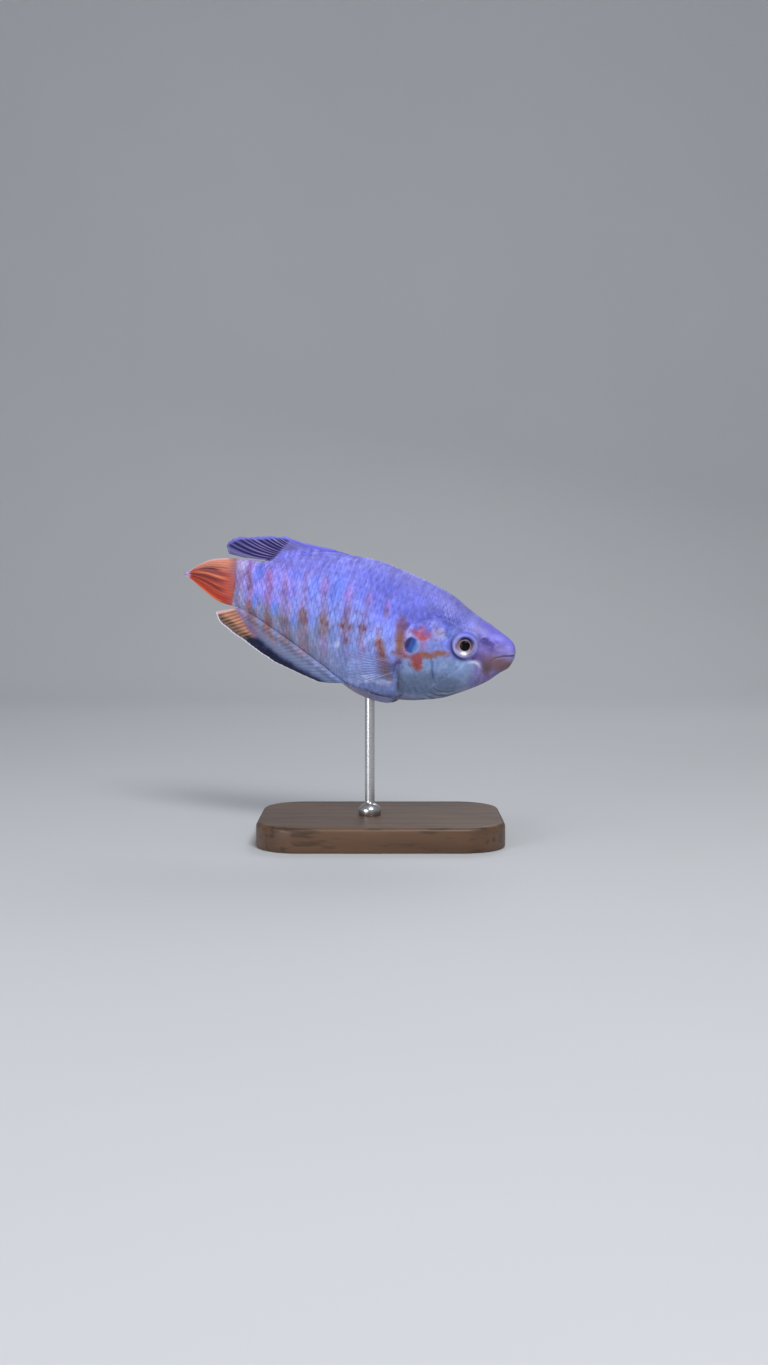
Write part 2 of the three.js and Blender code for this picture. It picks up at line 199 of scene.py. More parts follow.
_TS = np.concatenate([np.linspace(0.0004, 0.02, 24)[:-1], np.linspace(0.02, S_END, 380)])
_TW = np.linspace(0, 1, 181)
_TA = np.empty((len(_TS), len(_TW)))
_TL = np.empty(len(_TS))
for _i, _s in enumerate(_TS):
    _a = np.linspace(-math.pi / 2, math.pi / 2, 721)
    _y, _z = section(_s, _a)
    _arc = np.concatenate([[0], np.cumsum(np.hypot(np.diff(_y), np.diff(_z)))])
    _TL[_i] = _arc[-1]
    _TA[_i] = np.interp(_TW * _arc[-1], _arc, _a)


def angle(s, w):
    s, w = np.broadcast_arrays(np.asarray(s, float), np.asarray(w, float))
    sc = np.clip(s, _TS[0], _TS[-1])
    i = np.clip(np.searchsorted(_TS, sc, side="right") - 1, 0, len(_TS) - 2)
    f = (sc - _TS[i]) / (_TS[i + 1] - _TS[i])
    g = np.clip(w, 0, 1) * 180
    j = np.clip(np.floor(g).astype(int), 0, 179)
    g = g - j
    return (_TA[i, j] * (1 - f) + _TA[i + 1, j] * f) * (1 - g) + (_TA[i, j + 1] * (1 - f) + _TA[i + 1, j + 1] * f) * g


def girth(s):
    """arc from belly line to back line, mm"""
    return np.interp(s, _TS, _TL)


def yz(s, w):
    return section(s, angle(s, w))


def w_of(s, z):
    """where height z (mm) lies on the arc at s"""
    ws = np.linspace(0, 1, 361)
    return float(np.interp(z, yz(np.full(361, s), ws)[1], ws))


def side_at(s, z):
    m = mid(s) * SL
    above = z > m
    h = np.where(above, top(s) * SL - m, m - bottom(s) * SL)
    n = np.where(above, up_power(s), low_power(s))
    k = np.clip(np.abs(z - m) / np.maximum(h, 1e-9), 0, 1)
    return half(s) * SL * (1 - k**n) ** (1 / n)


def folded(w, side):
    """carries an arc share past the back line or the belly line over onto the other side"""
    w = np.asarray(w, float)
    over = (w > 1) | (w < 0)
    return np.where(w > 1, 2 - w, np.abs(w)), np.where(over, -side, side)


def surface(s, w, side):
    w, sd = folded(w, side)
    y, z = yz(s, w)
    return place(s, sd * y, z)


def unit(v):
    return v / np.maximum(np.linalg.norm(v, axis=-1, keepdims=True), 1e-12)


def normal(s, w, side):
    s, w = np.broadcast_arrays(np.asarray(s, float), np.asarray(w, float))
    a, b = np.clip(s - 0.0015, 0.0004, S_END), np.clip(s + 0.0015, 0.0004, S_END)
    n = np.cross(surface(b, w, side) - surface(a, w, side), surface(s, w + 0.004, side) - surface(s, w - 0.004, side))
    n = unit(n)
    inner = place(s, 0 * s, mid(s) * SL)
    return np.where(((surface(s, w, side) - inner) * n).sum(-1, keepdims=True) < 0, -n, n)


# ---------------------------------------------------------------- eye place
EYE = dict(s=0.162, z=-0.0226 * SL, r=3.1, depth=1.9, proud=0.7, show=2.54)


def eye_basis(side):
    a = float(heading(EYE["s"]))
    fwd = np.array([math.cos(a), -math.sin(a), 0.0])
    out = np.array([side * math.sin(a), side * math.cos(a), 0.0])
    turn = math.radians(8)  # the side of the head narrows forwards
    f = fwd * math.cos(turn) - out * math.sin(turn)
    o = fwd * math.sin(turn) + out * math.cos(turn)
    u = np.array([0.0, 0.0, 1.0])

    def pitch(v):
        return np.array([v[0] * math.cos(PITCH) + v[2] * math.sin(PITCH), v[1], -v[0] * math.sin(PITCH) + v[2] * math.cos(PITCH)])

    y = float(side_at(EYE["s"], EYE["z"])) + EYE["proud"] - EYE["depth"]
    return place(EYE["s"], side * y, EYE["z"]), pitch(f), pitch(u), pitch(o)


EYES = {side: eye_basis(side) for side in (-1, 1)}


def eye_polar(p, side):
    """distance from the eye's axis, direction (0 forward, 90 deg up) and height along the axis, mm"""
    c, f, u, o = EYES[side]
    d = p - c
    x, y, h = d @ f, d @ u, d @ o
    return np.hypot(x, y), np.arctan2(y, x), h


# ---------------------------------------------------------------- relief of the skin
def edge_line(points, ventral=()):
    """station of an edge as a function of the arc share w, from (s, z) points and (s, w) points on the throat"""
    got = [(w_of(s, z), s) for s, z in points] + [(w, s) for s, w in ventral]
    got.sort()
    ws, ss = np.array(got).T
    return lambda w: np.interp(w, ws, ss)


_gill_points = [(0.255, 2.9), (0.285, 2.45), (0.312, 1.55), (0.331, 0.1), (0.3405, -1.6), (0.3445, -3.2), (0.347, -5.4), (0.3475, -7.6), (0.344, -10.2), (0.338, -12.4), (0.326, -14.2)]
gill_edge = edge_line(_gill_points, ventral=[(0.19, 0.0), (0.222, 0.018), (0.262, 0.036), (0.296, 0.056)])
PREOPERCLE = [(0.236, 1.4), (0.247, -1.5), (0.251, -4.0), (0.2475, -6.4), (0.241, -7.8), (0.233, -9.2), (0.218, -10.4), (0.19, -10.9), (0.158, -10.1), (0.128, -8.6), (0.102, -7.0)]
MAXILLA = [(0.131, -3.5), (0.112, -3.45), (0.096, -3.55), (0.084, -4.15), (0.0775, -5.1), (0.0745, -6.2)]
MOUTH = [(0.0, -1.02), (0.006, -1.14), (0.02, -1.4), (0.036, -1.72), (0.054, -2.3), (0.068, -3.15), (0.0765, -4.15)]
JAW = [(0.012, -3.55), (0.03, -4.25), (0.05, -4.75), (0.066, -5.3), (0.075, -6.0)]
CHEEK_RAYS = [
    [(0.237, -10.9), (0.21, -11.6), (0.18, -11.35), (0.15, -10.4)],
    [(0.246, -12.0), (0.214, -12.6), (0.178, -12.1), (0.142, -10.8)],
    [(0.26, -13.0), (0.222, -13.35), (0.18, -12.8), (0.14, -11.3)],
    [(0.272, -13.9), (0.232, -13.95), (0.19, -13.25), (0.15, -12.1)],
]


def line_distance(s, z, pts):
    """distance in mm from a broken line in the side view, and how far along it, 0 to 1"""
    x, z = np.asarray(s) * SL, np.asarray(z)
    p = np.array([(a * SL, b) for a, b in pts])
    seg = np.linalg.norm(np.diff(p, axis=0), axis=1)
    run = np.concatenate([[0], np.cumsum(seg)]) / seg.sum()
    best = np.full(x.shape, 1e9)
    where = np.zeros(x.shape)
    for k in range(len(seg)):
        d = p[k + 1] - p[k]
        t = np.clip(((x - p[k, 0]) * d[0] + (z - p[k, 1]) * d[1]) / (seg[k] ** 2), 0, 1)
        q = np.hypot(x - p[k, 0] - t * d[0], z - p[k, 1] - t * d[1])
        near = q < best
        best = np.where(near, q, best)
        where = np.where(near, run[k] + t * (run[k + 1] - run[k]), where)
    return best, where


# where the scaled skin of the tail stalk gives way to the tail fin: (height mm, station)
TAIL_ROOT = ((-5.6, 1.006), (-4.6, 1.002), (-3.4, 1.0), (-1.8, 1.0015), (-0.1, 1.0065), (1.5, 1.015), (3.0, 1.0235), (4.4, 1.029))


def tail_root(z):
    zs, ss = np.array(TAIL_ROOT).T
    return np.interp(z, zs, ss)


def scaled(s, w, z):
    """1 where scales cover the skin, 0 on the bare snout, lips, jaw and throat"""
    back = smoothstep(0.10, 0.135, s + 0.0 * w)
    lim = np.interp(s, [0.0, 0.12, 0.16, 0.21, 0.235, 0.26, 0.30, 0.34, 0.36], [-1, -1.5, -6.2, -9.5, -11.0, -12.2, -13.6, -15.0, -17.0])
    lower = smoothstep(-0.4, 0.4, z - lim)
    return back * lower


def relief(s, w, y, z, side, p):
    """height of the skin over its smooth form, mm"""
    r = np.zeros(np.broadcast(s, w).shape)
    near_edge = gill_edge(w)
    slope = (gill_edge(w + 0.01) - gill_edge(w - 0.01)) / 0.02 * SL / np.maximum(girth(s), 5)
    d = (near_edge - s) * SL / np.sqrt(1 + slope**2)  # in front of the gill cover's edge is positive
    on = smoothstep(0.80, 0.72, w) * smoothstep(0.14, 0.2, s)
    front = 0.11 * bell(np.maximum(d, 0), 1.5)
    behind = -0.30 * np.exp(-np.maximum(-d, 0) / 1.0)
    r += on * np.where(np.abs(d) < 6, front + (behind - front) * smoothstep(0.07, -0.07, d), 0)
    # preopercle: a shallow groove with a raised bone in front of it
    q, t = line_distance(s, z, PREOPERCLE)
    fade = smoothstep(0, 0.12, t) * smoothstep(0.62, 0.4, t)
    r += fade * (-0.10 * bell(q, 0.2) + 0.05 * bell(q - 0.5, 0.35))
    # upper jaw bone and mouth
    q, t = line_distance(s, z, MAXILLA)
    r += -0.12 * bell(q, 0.22) * smoothstep(0, 0.2, t) * smoothstep(1, 0.85, t)
    q, t = line_distance(s, z, MOUTH)
    deep = 1 - 0.85 * smoothstep(0.35, 0.9, t)
    r += deep * (-0.24 * bell(q, 0.13) + 0.05 * bell(q - 0.42, 0.26))
    q, t = line_distance(s, z, JAW)
    r += -0.06 * bell(q, 0.3) * smoothstep(0, 0.2, t)
    for k, ray in enumerate(CHEEK_RAYS):
        q, t = line_distance(s, z, ray)
        r += -0.05 * bell(q, 0.16) * smoothstep(0, 0.25, t) * smoothstep(1, 0.75, t)
    # nostrils: a small tube in front, a slit behind
    for ns, nz, size, tall in ((0.083, 0.5, 0.17, 1.0), (0.106, 0.75, 0.22, 0.62)):
        q = np.hypot((s - ns) * SL * tall, (z - nz))
        r += 0.05 * bell(q - size - 0.1, 0.11) - 0.2 * bell(q, size * 0.8)
    # lachrymal bone in front of the eye, and the soft swell under it
    q = np.hypot((s - 0.105) * SL / 1.0, (z + 2.0) / 1.3)
    r += 0.05 * bell(q, 1.0)
    # root of the pectoral fin
    q = np.hypot((s - 0.36) * SL / 1.1, (z + 9.0) / 1.9)
    r += 0.22 * bell(q, 0.8)
    # faint fold of the flank muscles along the side
    r += -0.05 * bell(w - 0.53, 0.02) * smoothstep(0.45, 0.6, s) * smoothstep(1.0, 0.9, s)
    # the orbit
    q, _, h = eye_polar(p, side)
    here = h > 0
    show = EYE["show"]
    pit = smoothstep(show + 0.05, show - 0.3, q)
    rim = 0.05 * bell(q - show - 0.2, 0.25) - 0.03 * bell(q - show - 0.75, 0.3)
    r = np.where(here, r * (1 - pit) + rim * (1 - pit) - 1.5 * pit, r)
    return r


def skin_depth(s, w, z):
    """how far the skin lies inside the frame, mm"""
    past = (s - tail_root(z)) * SL
    deep = 0.06 + (COAT - 0.06) * scaled(s, w, z) + 0.4 * smoothstep(0.0, 0.9, past)
    return np.minimum(deep, np.where(s > 0.9, 0.72 * half(s) * SL, deep))  # never through the middle plane


def skin_at(s, w, side, lift=0.0):
    """points on the finished skin, with lift mm over it"""
    s, w = np.broadcast_arrays(np.asarray(s, float), np.asarray(w, float))
    n = normal(s, w, side)
    w, sd = folded(w, side)
    y, z = yz(s, w)
    p = place(s, sd * y, z)
    h = relief(s, w, y, z, side, p) - skin_depth(s, w, z) + lift
    return p + n * np.asarray(h)[..., None], n


# ---------------------------------------------------------------- markings
PAINT = dict(
    back=(136, 136, 240),
    # rim: colour of the painted highlight on the top-lit line of the back
    rim=(142, 142, 232),
    nape=(98, 104, 224),
    flank=(142, 148, 250),
    flank_low=(124, 138, 212),
    rear=(154, 142, 246),
    azure=(112, 136, 252),
    belly=(122, 138, 196),
    belly_rear=(132, 138, 178),
    throat=(88, 102, 134),
    cheek=(118, 140, 190),
    cheek_white=(148, 168, 196),
    snout=(127, 122, 226),
    snout_low=(134, 118, 168),
    jaw=(110, 86, 86),
    jaw_tan=(118, 86, 76),
    lip=(150, 146, 208),
    maroon=(124, 78, 94),
    plum=(136, 100, 160),
    pink=(174, 120, 198),
    mauve=(134, 112, 168),
    brown=(132, 104, 108),
    tan=(156, 112, 110),
    rust=(132, 78, 68),
    orange=(132, 78, 54),
    redorange=(144, 62, 70),
    diamond=(170, 78, 102),
    navy=(40, 26, 84),
    blue=(26, 70, 152),
    cyan=(88, 124, 178),
    peach=(164, 142, 152),
    grey=(154, 126, 170),
    pale=(186, 172, 222),
    slate=(66, 66, 104),
    deep=(88, 88, 190),
    deepblue=(84, 100, 224),
)
PAINT = {k: np.array(v, float) for k, v in PAINT.items()}


def blend(base, colour, amount):
    c = PAINT[colour] if isinstance(colour, str) else np.asarray(colour, float)
    return base + (c - base) * np.clip(amount, 0, 1)[..., None]


# bars from tail to shoulder: blobs at (s, z mm, half length, half height, lean, colour, strength)
BARS = [
    # tail root
    (0.961, 3.6, 0.75, 1.1, 0, "pink", 0.75), (0.956, 1.9, 0.75, 0.7, 0.1, "maroon", 0.55), (0.944, 0.6, 0.75, 0.8, 0.1, "maroon", 0.62),
    (0.940, -0.8, 0.75, 0.6, 0, "maroon", 0.65), (0.936, -2.6, 0.7, 1.2, 0, "pink", 0.6), (0.931, -4.5, 0.9, 1.1, 0, "redorange", 0.62), (0.922, -5.7, 1.7, 0.8, 0, "redorange", 0.5),
    # second
    (0.880, 3.1, 1.0, 0.8, 0.1, "pink", 0.7), (0.865, 1.5, 0.8, 0.9, 0.1, "pink", 0.6), (0.857, 0.1, 0.85, 0.8, 0, "plum", 0.55), (0.857, -1.2, 0.7, 0.6, 0, "pink", 0.6),
    (0.856, -2.2, 0.9, 0.7, 0, "pink", 0.8), (0.857, -3.4, 0.8, 0.6, 0, "plum", 0.35), (0.851, -5.6, 0.9, 0.6, 0, "brown", 0.5), (0.847, -6.7, 1.1, 0.7, 0, "brown", 0.7), (0.838, -7.4, 0.8, 0.5, 0, "rust", 0.4),
    # third
    (0.803, 2.1, 0.6, 0.7, 0.2, "plum", 0.55), (0.796, 0.8, 0.6, 0.8, 0.2, "plum", 0.45), (0.795, -0.3, 0.9, 0.35, 0, "plum", 0.8), (0.782, -1.2, 0.55, 0.9, 0, "plum", 0.6),
    (0.787, -2.2, 0.7, 0.5, 0, "plum", 0.4), (0.782, -5.6, 1.5, 0.9, 0, "brown", 0.5), (0.772, -7.3, 1.5, 1.2, 0, "grey", 0.55), (0.762, -9.2, 1.4, 1.1, 0, "brown", 0.3),
    # fourth
    (0.716, -0.8, 0.7, 1.0, 0, "plum", 0.5), (0.709, -3.2, 1.2, 0.9, 0, "brown", 0.8), (0.705, -4.8, 1.2, 1.0, 0, "maroon", 0.5), (0.699, -7.0, 1.3, 1.4, 0, "grey", 0.5), (0.692, -9.5, 1.3, 1.4, 0, "grey", 0.4),
    # fifth
    (0.655, 3.6, 1.5, 1.5, 0, "pink", 0.35), (0.652, 2.0, 0.65, 0.35, 0, "plum", 0.75), (0.646, 0.6, 0.6, 0.6, 0.1, "plum", 0.25), (0.635, -0.55, 0.65, 0.4, 0, "plum", 0.85),
    (0.640, -1.8, 1.0, 0.8, 0.1, "plum", 0.25), (0.638, -3.2, 0.8, 0.5, 0, "brown", 0.65), (0.625, -3.9, 1.2, 0.8, 0, "brown", 0.5), (0.628, -5.5, 1.4, 0.6, 0, "brown", 0.62), (0.617, -8.0, 1.2, 1.4, 0, "grey", 0.3),
    # sixth
    (0.570, 4.2, 0.7, 0.8, 0.1, "pink", 0.35), (0.566, 2.6, 0.9, 0.75, 0, "pink", 0.6), (0.560, 1.0, 0.5, 0.7, 0, "plum", 0.3), (0.557, -0.45, 0.8, 0.7, 0, "plum", 0.75),
    (0.557, -2.0, 0.6, 0.5, 0, "plum", 0.7), (0.551, -3.5, 1.45, 0.7, -0.1, "maroon", 0.95), (0.545, -5.2, 0.9, 0.8, 0.1, "mauve", 0.7), (0.537, -6.6, 0.8, 1.0, 0.1, "mauve", 0.5),
    # seventh
    (0.497, 3.0, 0.8, 0.7, 0, "pink", 0.8), (0.494, 1.6, 0.6, 0.9, 0, "pale", 0.35), (0.497, -0.2, 0.8, 0.4, 0, "plum", 0.55), (0.492, -2.9, 0.85, 0.75, 0, "maroon", 0.85),
    (0.490, -4.3, 0.5, 0.6, 0, "mauve", 0.3), (0.485, -5.6, 0.8, 0.7, 0.1, "mauve", 0.7), (0.476, -7.0, 0.8, 0.9, 0.2, "mauve", 0.6),
    # eighth
    (0.430, 2.7, 0.62, 0.8, 0.1, "pink", 0.6), (0.424, 1.2, 0.6, 0.75, 0.1, "maroon", 0.55), (0.444, -2.5, 0.5, 0.7, 0, "plum", 0.6), (0.433, -4.0, 0.6, 0.6, 0, "orange", 0.3),
    (0.425, -5.1, 0.95, 0.9, 0.1, "rust", 0.9), (0.415, -6.4, 0.8, 0.8, 0.1, "rust", 0.75), (0.403, -8.0, 1.1, 1.1, 0.1, "maroon", 0.5), (0.397, -9.9, 1.1, 1.1, 0.1, "maroon", 0.4), (0.380, -8.6, 1.0, 0.8, 0, "mauve", 0.5),
    # shoulder
    (0.382, 0.55, 0.9, 0.6, 0, "maroon", 0.45), (0.368, 0.9, 0.5, 0.5, 0, "maroon", 0.55), (0.368, -0.9, 1.15, 0.95, 0, "maroon", 0.95), (0.366, -2.7, 0.8, 0.8, 0, "orange", 0.85),
    (0.3605, -3.9, 0.8, 0.9, 0, "orange", 0.95), (0.357, -5.5, 0.75, 0.8, 0.1, "orange", 0.75), (0.371, -6.2, 0.55, 0.45, 0, "maroon", 0.7), (0.352, -7.7, 0.55, 0.5, 0, "navy", 0.8),
]
# the gill cover's marks
COVER = [
    (0.332, -0.9, 1.0, 1.1, 0, "pale", 0.55), (0.350, -2.0, 0.8, 0.9, 0, "pale", 0.5), (0.339, -2.2, 0.7, 0.6, 0, "pale", 0.45), (0.345, -5.9, 0.7, 1.4, 0.1, "redorange", 0.45),
    (0.299, -4.3, 0.8, 1.5, 0, "cyan", 0.6), (0.2875, -3.6, 0.75, 2.0, 0, "mauve", 0.85), (0.281, -2.4, 0.7, 0.8, 0, "pink", 0.4),
    (0.308, -6.1, 1.15, 0.9, 0.15, "maroon", 0.8), (0.2985, -6.2, 1.15, 1.1, 0.3, "redorange", 1.0), (0.284, -6.4, 0.6, 0.8, 0.2, "redorange", 0.75), (0.304, -7.2, 0.8, 0.7, 0.1, "diamond", 0.5), (0.292, -7.3, 1.05, 1.15, 0.2, "redorange", 1.0), (0.289, -8.3, 0.6, 0.6, 0.1, "redorange", 0.8), (0.312, -5.7, 0.9, 0.6, 0, "maroon", 0.7), (0.324, -6.2, 0.8, 0.6, 0, "maroon", 0.75), (0.336, -4.2, 0.45, 1.6, 0, "diamond", 0.35), (0.335, -6.0, 0.6, 0.9, 0, "redorange", 0.6), (0.303, -7.7, 0.9, 0.7, 0, "rust", 0.5),
    (0.277, -5.2, 1.1, 0.75, 0, "orange", 0.83), (0.272, -4.2, 0.9, 0.6, 0, "mauve", 0.5), (0.264, -5.0, 0.9, 0.7, 0.25, "orange", 0.88), (0.247, -4.6, 1.0, 0.55, 0.15, "orange", 0.78), (0.243, -4.2, 1.0, 0.4, 0.15, "mauve", 0.5), (0.228, -4.1, 1.2, 0.65, 0.1, "orange", 0.85), (0.209, -3.7, 0.7, 0.6, 0.1, "orange", 0.5),
    (0.2525, -0.3, 0.9, 0.75, 0, "peach", 0.95), (0.246, 0.5, 0.75, 0.6, 0, "pale", 0.85), (0.235, -0.4, 0.9, 0.8, 0, "pale", 0.5), (0.264, 0.1, 0.6, 0.6, 0, "pale", 0.5), (0.253, -1.5, 0.6, 0.35, 0, "rust", 0.4), (0.244, -0.3, 0.35, 0.35, 0, "rust", 0.3),
    (0.27, 0.9, 1.1, 0.9, 0, "pale", 0.35), (0.212, -6.2, 0.9, 0.7, 0, "cheek_white", 0.35), (0.262, -7.6, 0.9, 0.8, 0, "cheek_white", 0.3),
    (0.353, 0.2, 0.7, 0.6, 0, "maroon", 0.35), (0.320, 1.25, 1.3, 0.45, 0, "slate", 0.42), (0.291, 2.7, 1.0, 0.6, 0.2, "deep", 0.55), (0.271, 4.0, 1.0, 0.6, 0.3, "deep", 0.5), (0.232, 1.8, 0.9, 0.8, 0, "deepblue", 0.7), (0.206, 2.9, 1.1, 0.8, 0.2, "deepblue", 0.75),
    (0.275, 0.95, 0.8, 0.5, 0, "pale", 0.4), (0.231, -0.4, 0.6, 0.6, 0, "cheek_white", 0.6), (0.216, -0.5, 0.5, 0.7, 0, "cyan", 0.4), (0.138, 2.5, 0.8, 0.7, 0.2, "mauve", 0.4), (0.124, 0.9, 0.6, 0.9, 0, "slate", 0.3), (0.337, -8.0, 0.5, 0.8, 0, "cyan", 0.3),
    (0.300, 3.7, 1.5, 0.55, 0.5, "slate", 0.42), (0.325, 1.9, 1.7, 0.6, 0.2, "slate", 0.42), (0.285, 4.6, 1.2, 0.5, 0.5, "slate", 0.3), (0.31, 2.6, 1.2, 0.4, 0.4, "slate", 0.3), (0.236, 3.1, 1.2, 0.5, 0.4, "slate", 0.25), (0.345, 3.4, 1.0, 0.5, 0.3, "slate", 0.25),
]


# the bars' soft ground: (height mm, station, half width mm, colour, strength), from the back down
COLUMNS = [
    [(4.8, 0.968, 0.7, "pink", 0.5), (3.0, 0.961, 0.75, "plum", 0.75), (1.0, 0.950, 0.8, "maroon", 0.62), (-1.0, 0.940, 0.75, "maroon", 0.6), (-3.0, 0.935, 0.75, "pink", 0.6), (-4.6, 0.931, 1.0, "tan", 0.85), (-6.2, 0.918, 1.7, "tan", 0.9), (-7.6, 0.905, 1.7, "tan", 0.6)],
    [(4.6, 0.888, 0.8, "pink", 0.3), (3.2, 0.879, 1.0, "pink", 0.75), (1.2, 0.864, 1.0, "pink", 0.85), (-0.6, 0.857, 1.05, "pink", 0.8), (-2.6, 0.856, 1.0, "pink", 0.72), (-4.6, 0.854, 1.1, "brown", 0.6), (-6.6, 0.847, 1.4, "tan", 0.9), (-8.4, 0.842, 1.45, "tan", 0.85), (-10.0, 0.823, 1.4, "tan", 0.6)],
    [(5.4, 0.828, 0.8, "mauve", 0.3), (3.2, 0.812, 0.8, "plum", 0.45), (1.4, 0.80, 0.85, "plum", 0.6), (-0.6, 0.792, 1.0, "plum", 0.7), (-2.4, 0.785, 0.9, "plum", 0.6), (-4.0, 0.783, 0.8, "mauve", 0.25), (-5.8, 0.776, 1.45, "brown", 0.85), (-8.0, 0.771, 1.5, "brown", 0.75), (-9.8, 0.76, 1.5, "brown", 0.5)],
    [(5.2, 0.738, 0.8, "plum", 0.45), (3.0, 0.73, 0.7, "plum", 0.35), (0.6, 0.72, 0.75, "plum", 0.5), (-2.0, 0.712, 0.95, "plum", 0.7), (-4.0, 0.706, 1.2, "brown", 0.85), (-7.0, 0.699, 1.4, "brown", 0.75), (-10.4, 0.688, 1.5, "brown", 0.45)],
    [(5.0, 0.662, 1.2, "pink", 0.25), (3.0, 0.655, 1.1, "pink", 0.45), (1.4, 0.649, 0.8, "plum", 0.5), (-0.8, 0.637, 0.9, "plum", 0.6), (-3.4, 0.629, 1.3, "brown", 0.9), (-5.6, 0.624, 1.4, "brown", 0.8), (-8.0, 0.616, 1.3, "mauve", 0.55), (-10.8, 0.61, 1.3, "grey", 0.4)],
    [(4.6, 0.572, 0.8, "pink", 0.3), (2.6, 0.566, 0.9, "pink", 0.6), (0.6, 0.559, 0.75, "plum", 0.5), (-1.6, 0.557, 0.85, "plum", 0.7), (-3.5, 0.551, 1.3, "maroon", 0.75), (-5.4, 0.544, 1.0, "mauve", 0.75), (-7.4, 0.534, 0.9, "mauve", 0.6), (-9.6, 0.526, 1.0, "mauve", 0.25)],
    [(4.2, 0.5, 0.7, "pink", 0.45), (2.6, 0.496, 0.85, "pink", 0.7), (0.8, 0.494, 0.65, "plum", 0.3), (-1.2, 0.494, 0.7, "mauve", 0.35), (-3.0, 0.491, 0.9, "maroon", 0.7), (-5.0, 0.486, 0.8, "mauve", 0.7), (-7.2, 0.476, 0.8, "mauve", 0.7), (-9.4, 0.468, 0.9, "mauve", 0.3)],
    [(3.8, 0.434, 0.6, "pink", 0.5), (2.4, 0.43, 0.65, "pink", 0.6), (0.8, 0.425, 0.6, "maroon", 0.45), (-1.2, 0.428, 0.5, "mauve", 0.15), (-3.4, 0.433, 0.6, "orange", 0.3), (-5.0, 0.426, 0.9, "rust", 0.8), (-6.8, 0.411, 1.0, "rust", 0.72), (-8.8, 0.393, 1.2, "brown", 0.8), (-11.3, 0.374, 1.0, "brown", 0.7), (-12.6, 0.368, 0.8, "mauve", 0.3)],
    [(1.8, 0.375, 0.6, "maroon", 0.2), (0.4, 0.372, 1.0, "maroon", 0.6), (-1.2, 0.368, 1.2, "maroon", 0.85), (-3.0, 0.363, 0.95, "orange", 0.75), (-5.0, 0.358, 0.85, "orange", 0.7), (-6.6, 0.357, 0.8, "rust", 0.4), (-8.4, 0.352, 0.6, "mauve", 0.2)],
]


def columns(col, s, z, seed):
    x = s * SL
    for k, rows in enumerate(COLUMNS):
        zs = np.array([r[0] for r in rows])[::-1]
        cs = np.array([r[1] for r in rows])[::-1]
        ws = np.array([r[2] for r in rows])[::-1]
        ks = np.array([r[4] for r in rows])[::-1]
        paints = np.array([PAINT[r[3]] for r in rows])[::-1]
        d = (s - np.interp(z, zs, cs)) * SL
        near = (np.abs(d) < 5) & (z < zs[-1] + 2) & (z > zs[0] - 2)
        if not near.any():
            continue
        zz, xx, dd = z[near], x[near], d[near]
        wob = 0.5 * (cloud(zz * 1.1 + 7 * k, xx * 0.5, seed + 41) - 0.5)
        edge = 0.35 * (cloud(xx * 2.2, zz * 2.2, seed + 43 + k) - 0.5)
        a = smoothstep(1.35, 0.35, np.abs(dd + wob) / np.interp(zz, zs, ws) + edge)
        fade = smoothstep(zs[0] - 1.2, zs[0] + 0.4, zz) * smoothstep(zs[-1] + 1.2, zs[-1] - 0.4, zz)
        patchy = 0.72 + 0.5 * cloud(zz * 1.3 + 3 * k, xx * 0.8, seed + 47)
        target = np.stack([np.interp(zz, zs, paints[:, c]) for c in range(3)], -1)
        amount = np.clip(a * fade * patchy * np.interp(zz, zs, ks), 0, 1)[..., None]
        col[near] = col[near] + (target - col[near]) * amount
    return col


def blobs(col, s, z, rows, seed, keep=1.0, jx=0.0, jz=0.0, grow=1.0):
    x = s * SL
    wx = (cloud(x * 1.3, z * 1.3, seed) - 0.5) * 0.9
    wz = (cloud(x * 1.3 + 40, z * 1.3, seed + 11) - 0.5) * 0.9
    for k, (s0, z0, rs, rz, lean, colour, strength) in enumerate(rows):
        rs, rz = rs * grow, rz * grow
        dx = x - s0 * SL - jx * (_hash(k, 1, seed) - 0.5)
        dz = z - z0 - jz * (_hash(k, 2, seed) - 0.5)
        near = np.abs(dx) + np.abs(dz) < 3.2 * (rs + rz)
        if not near.any():
            continue
        d = np.hypot((dx[near] - lean * dz[near] + wx[near]) / rs, (dz[near] + wz[near]) / rz)
        col[near] = blend(col[near], colour, strength * keep * smoothstep(1.45, 0.45, d))
    return col


def to_linear(c):
    c = np.clip(c / 255, 0, 1)
    return np.where(c <= 0.04045, c / 12.92, ((c + 0.055) / 1.055) ** 2.4)


def diamond(s, z):
    """signed share of the way from the centre of the gill cover's red diamond to its edge"""
    x, zz = (s - 0.301) * SL, z + 1.1
    side = np.where(x > 0, 2.0, 2.05)
    tall = np.where(zz > 0, 1.62, 1.5)
    return (np.abs(x - 0.12 * zz) / side) ** 1.15 + (np.abs(zz) / tall) ** 1.15


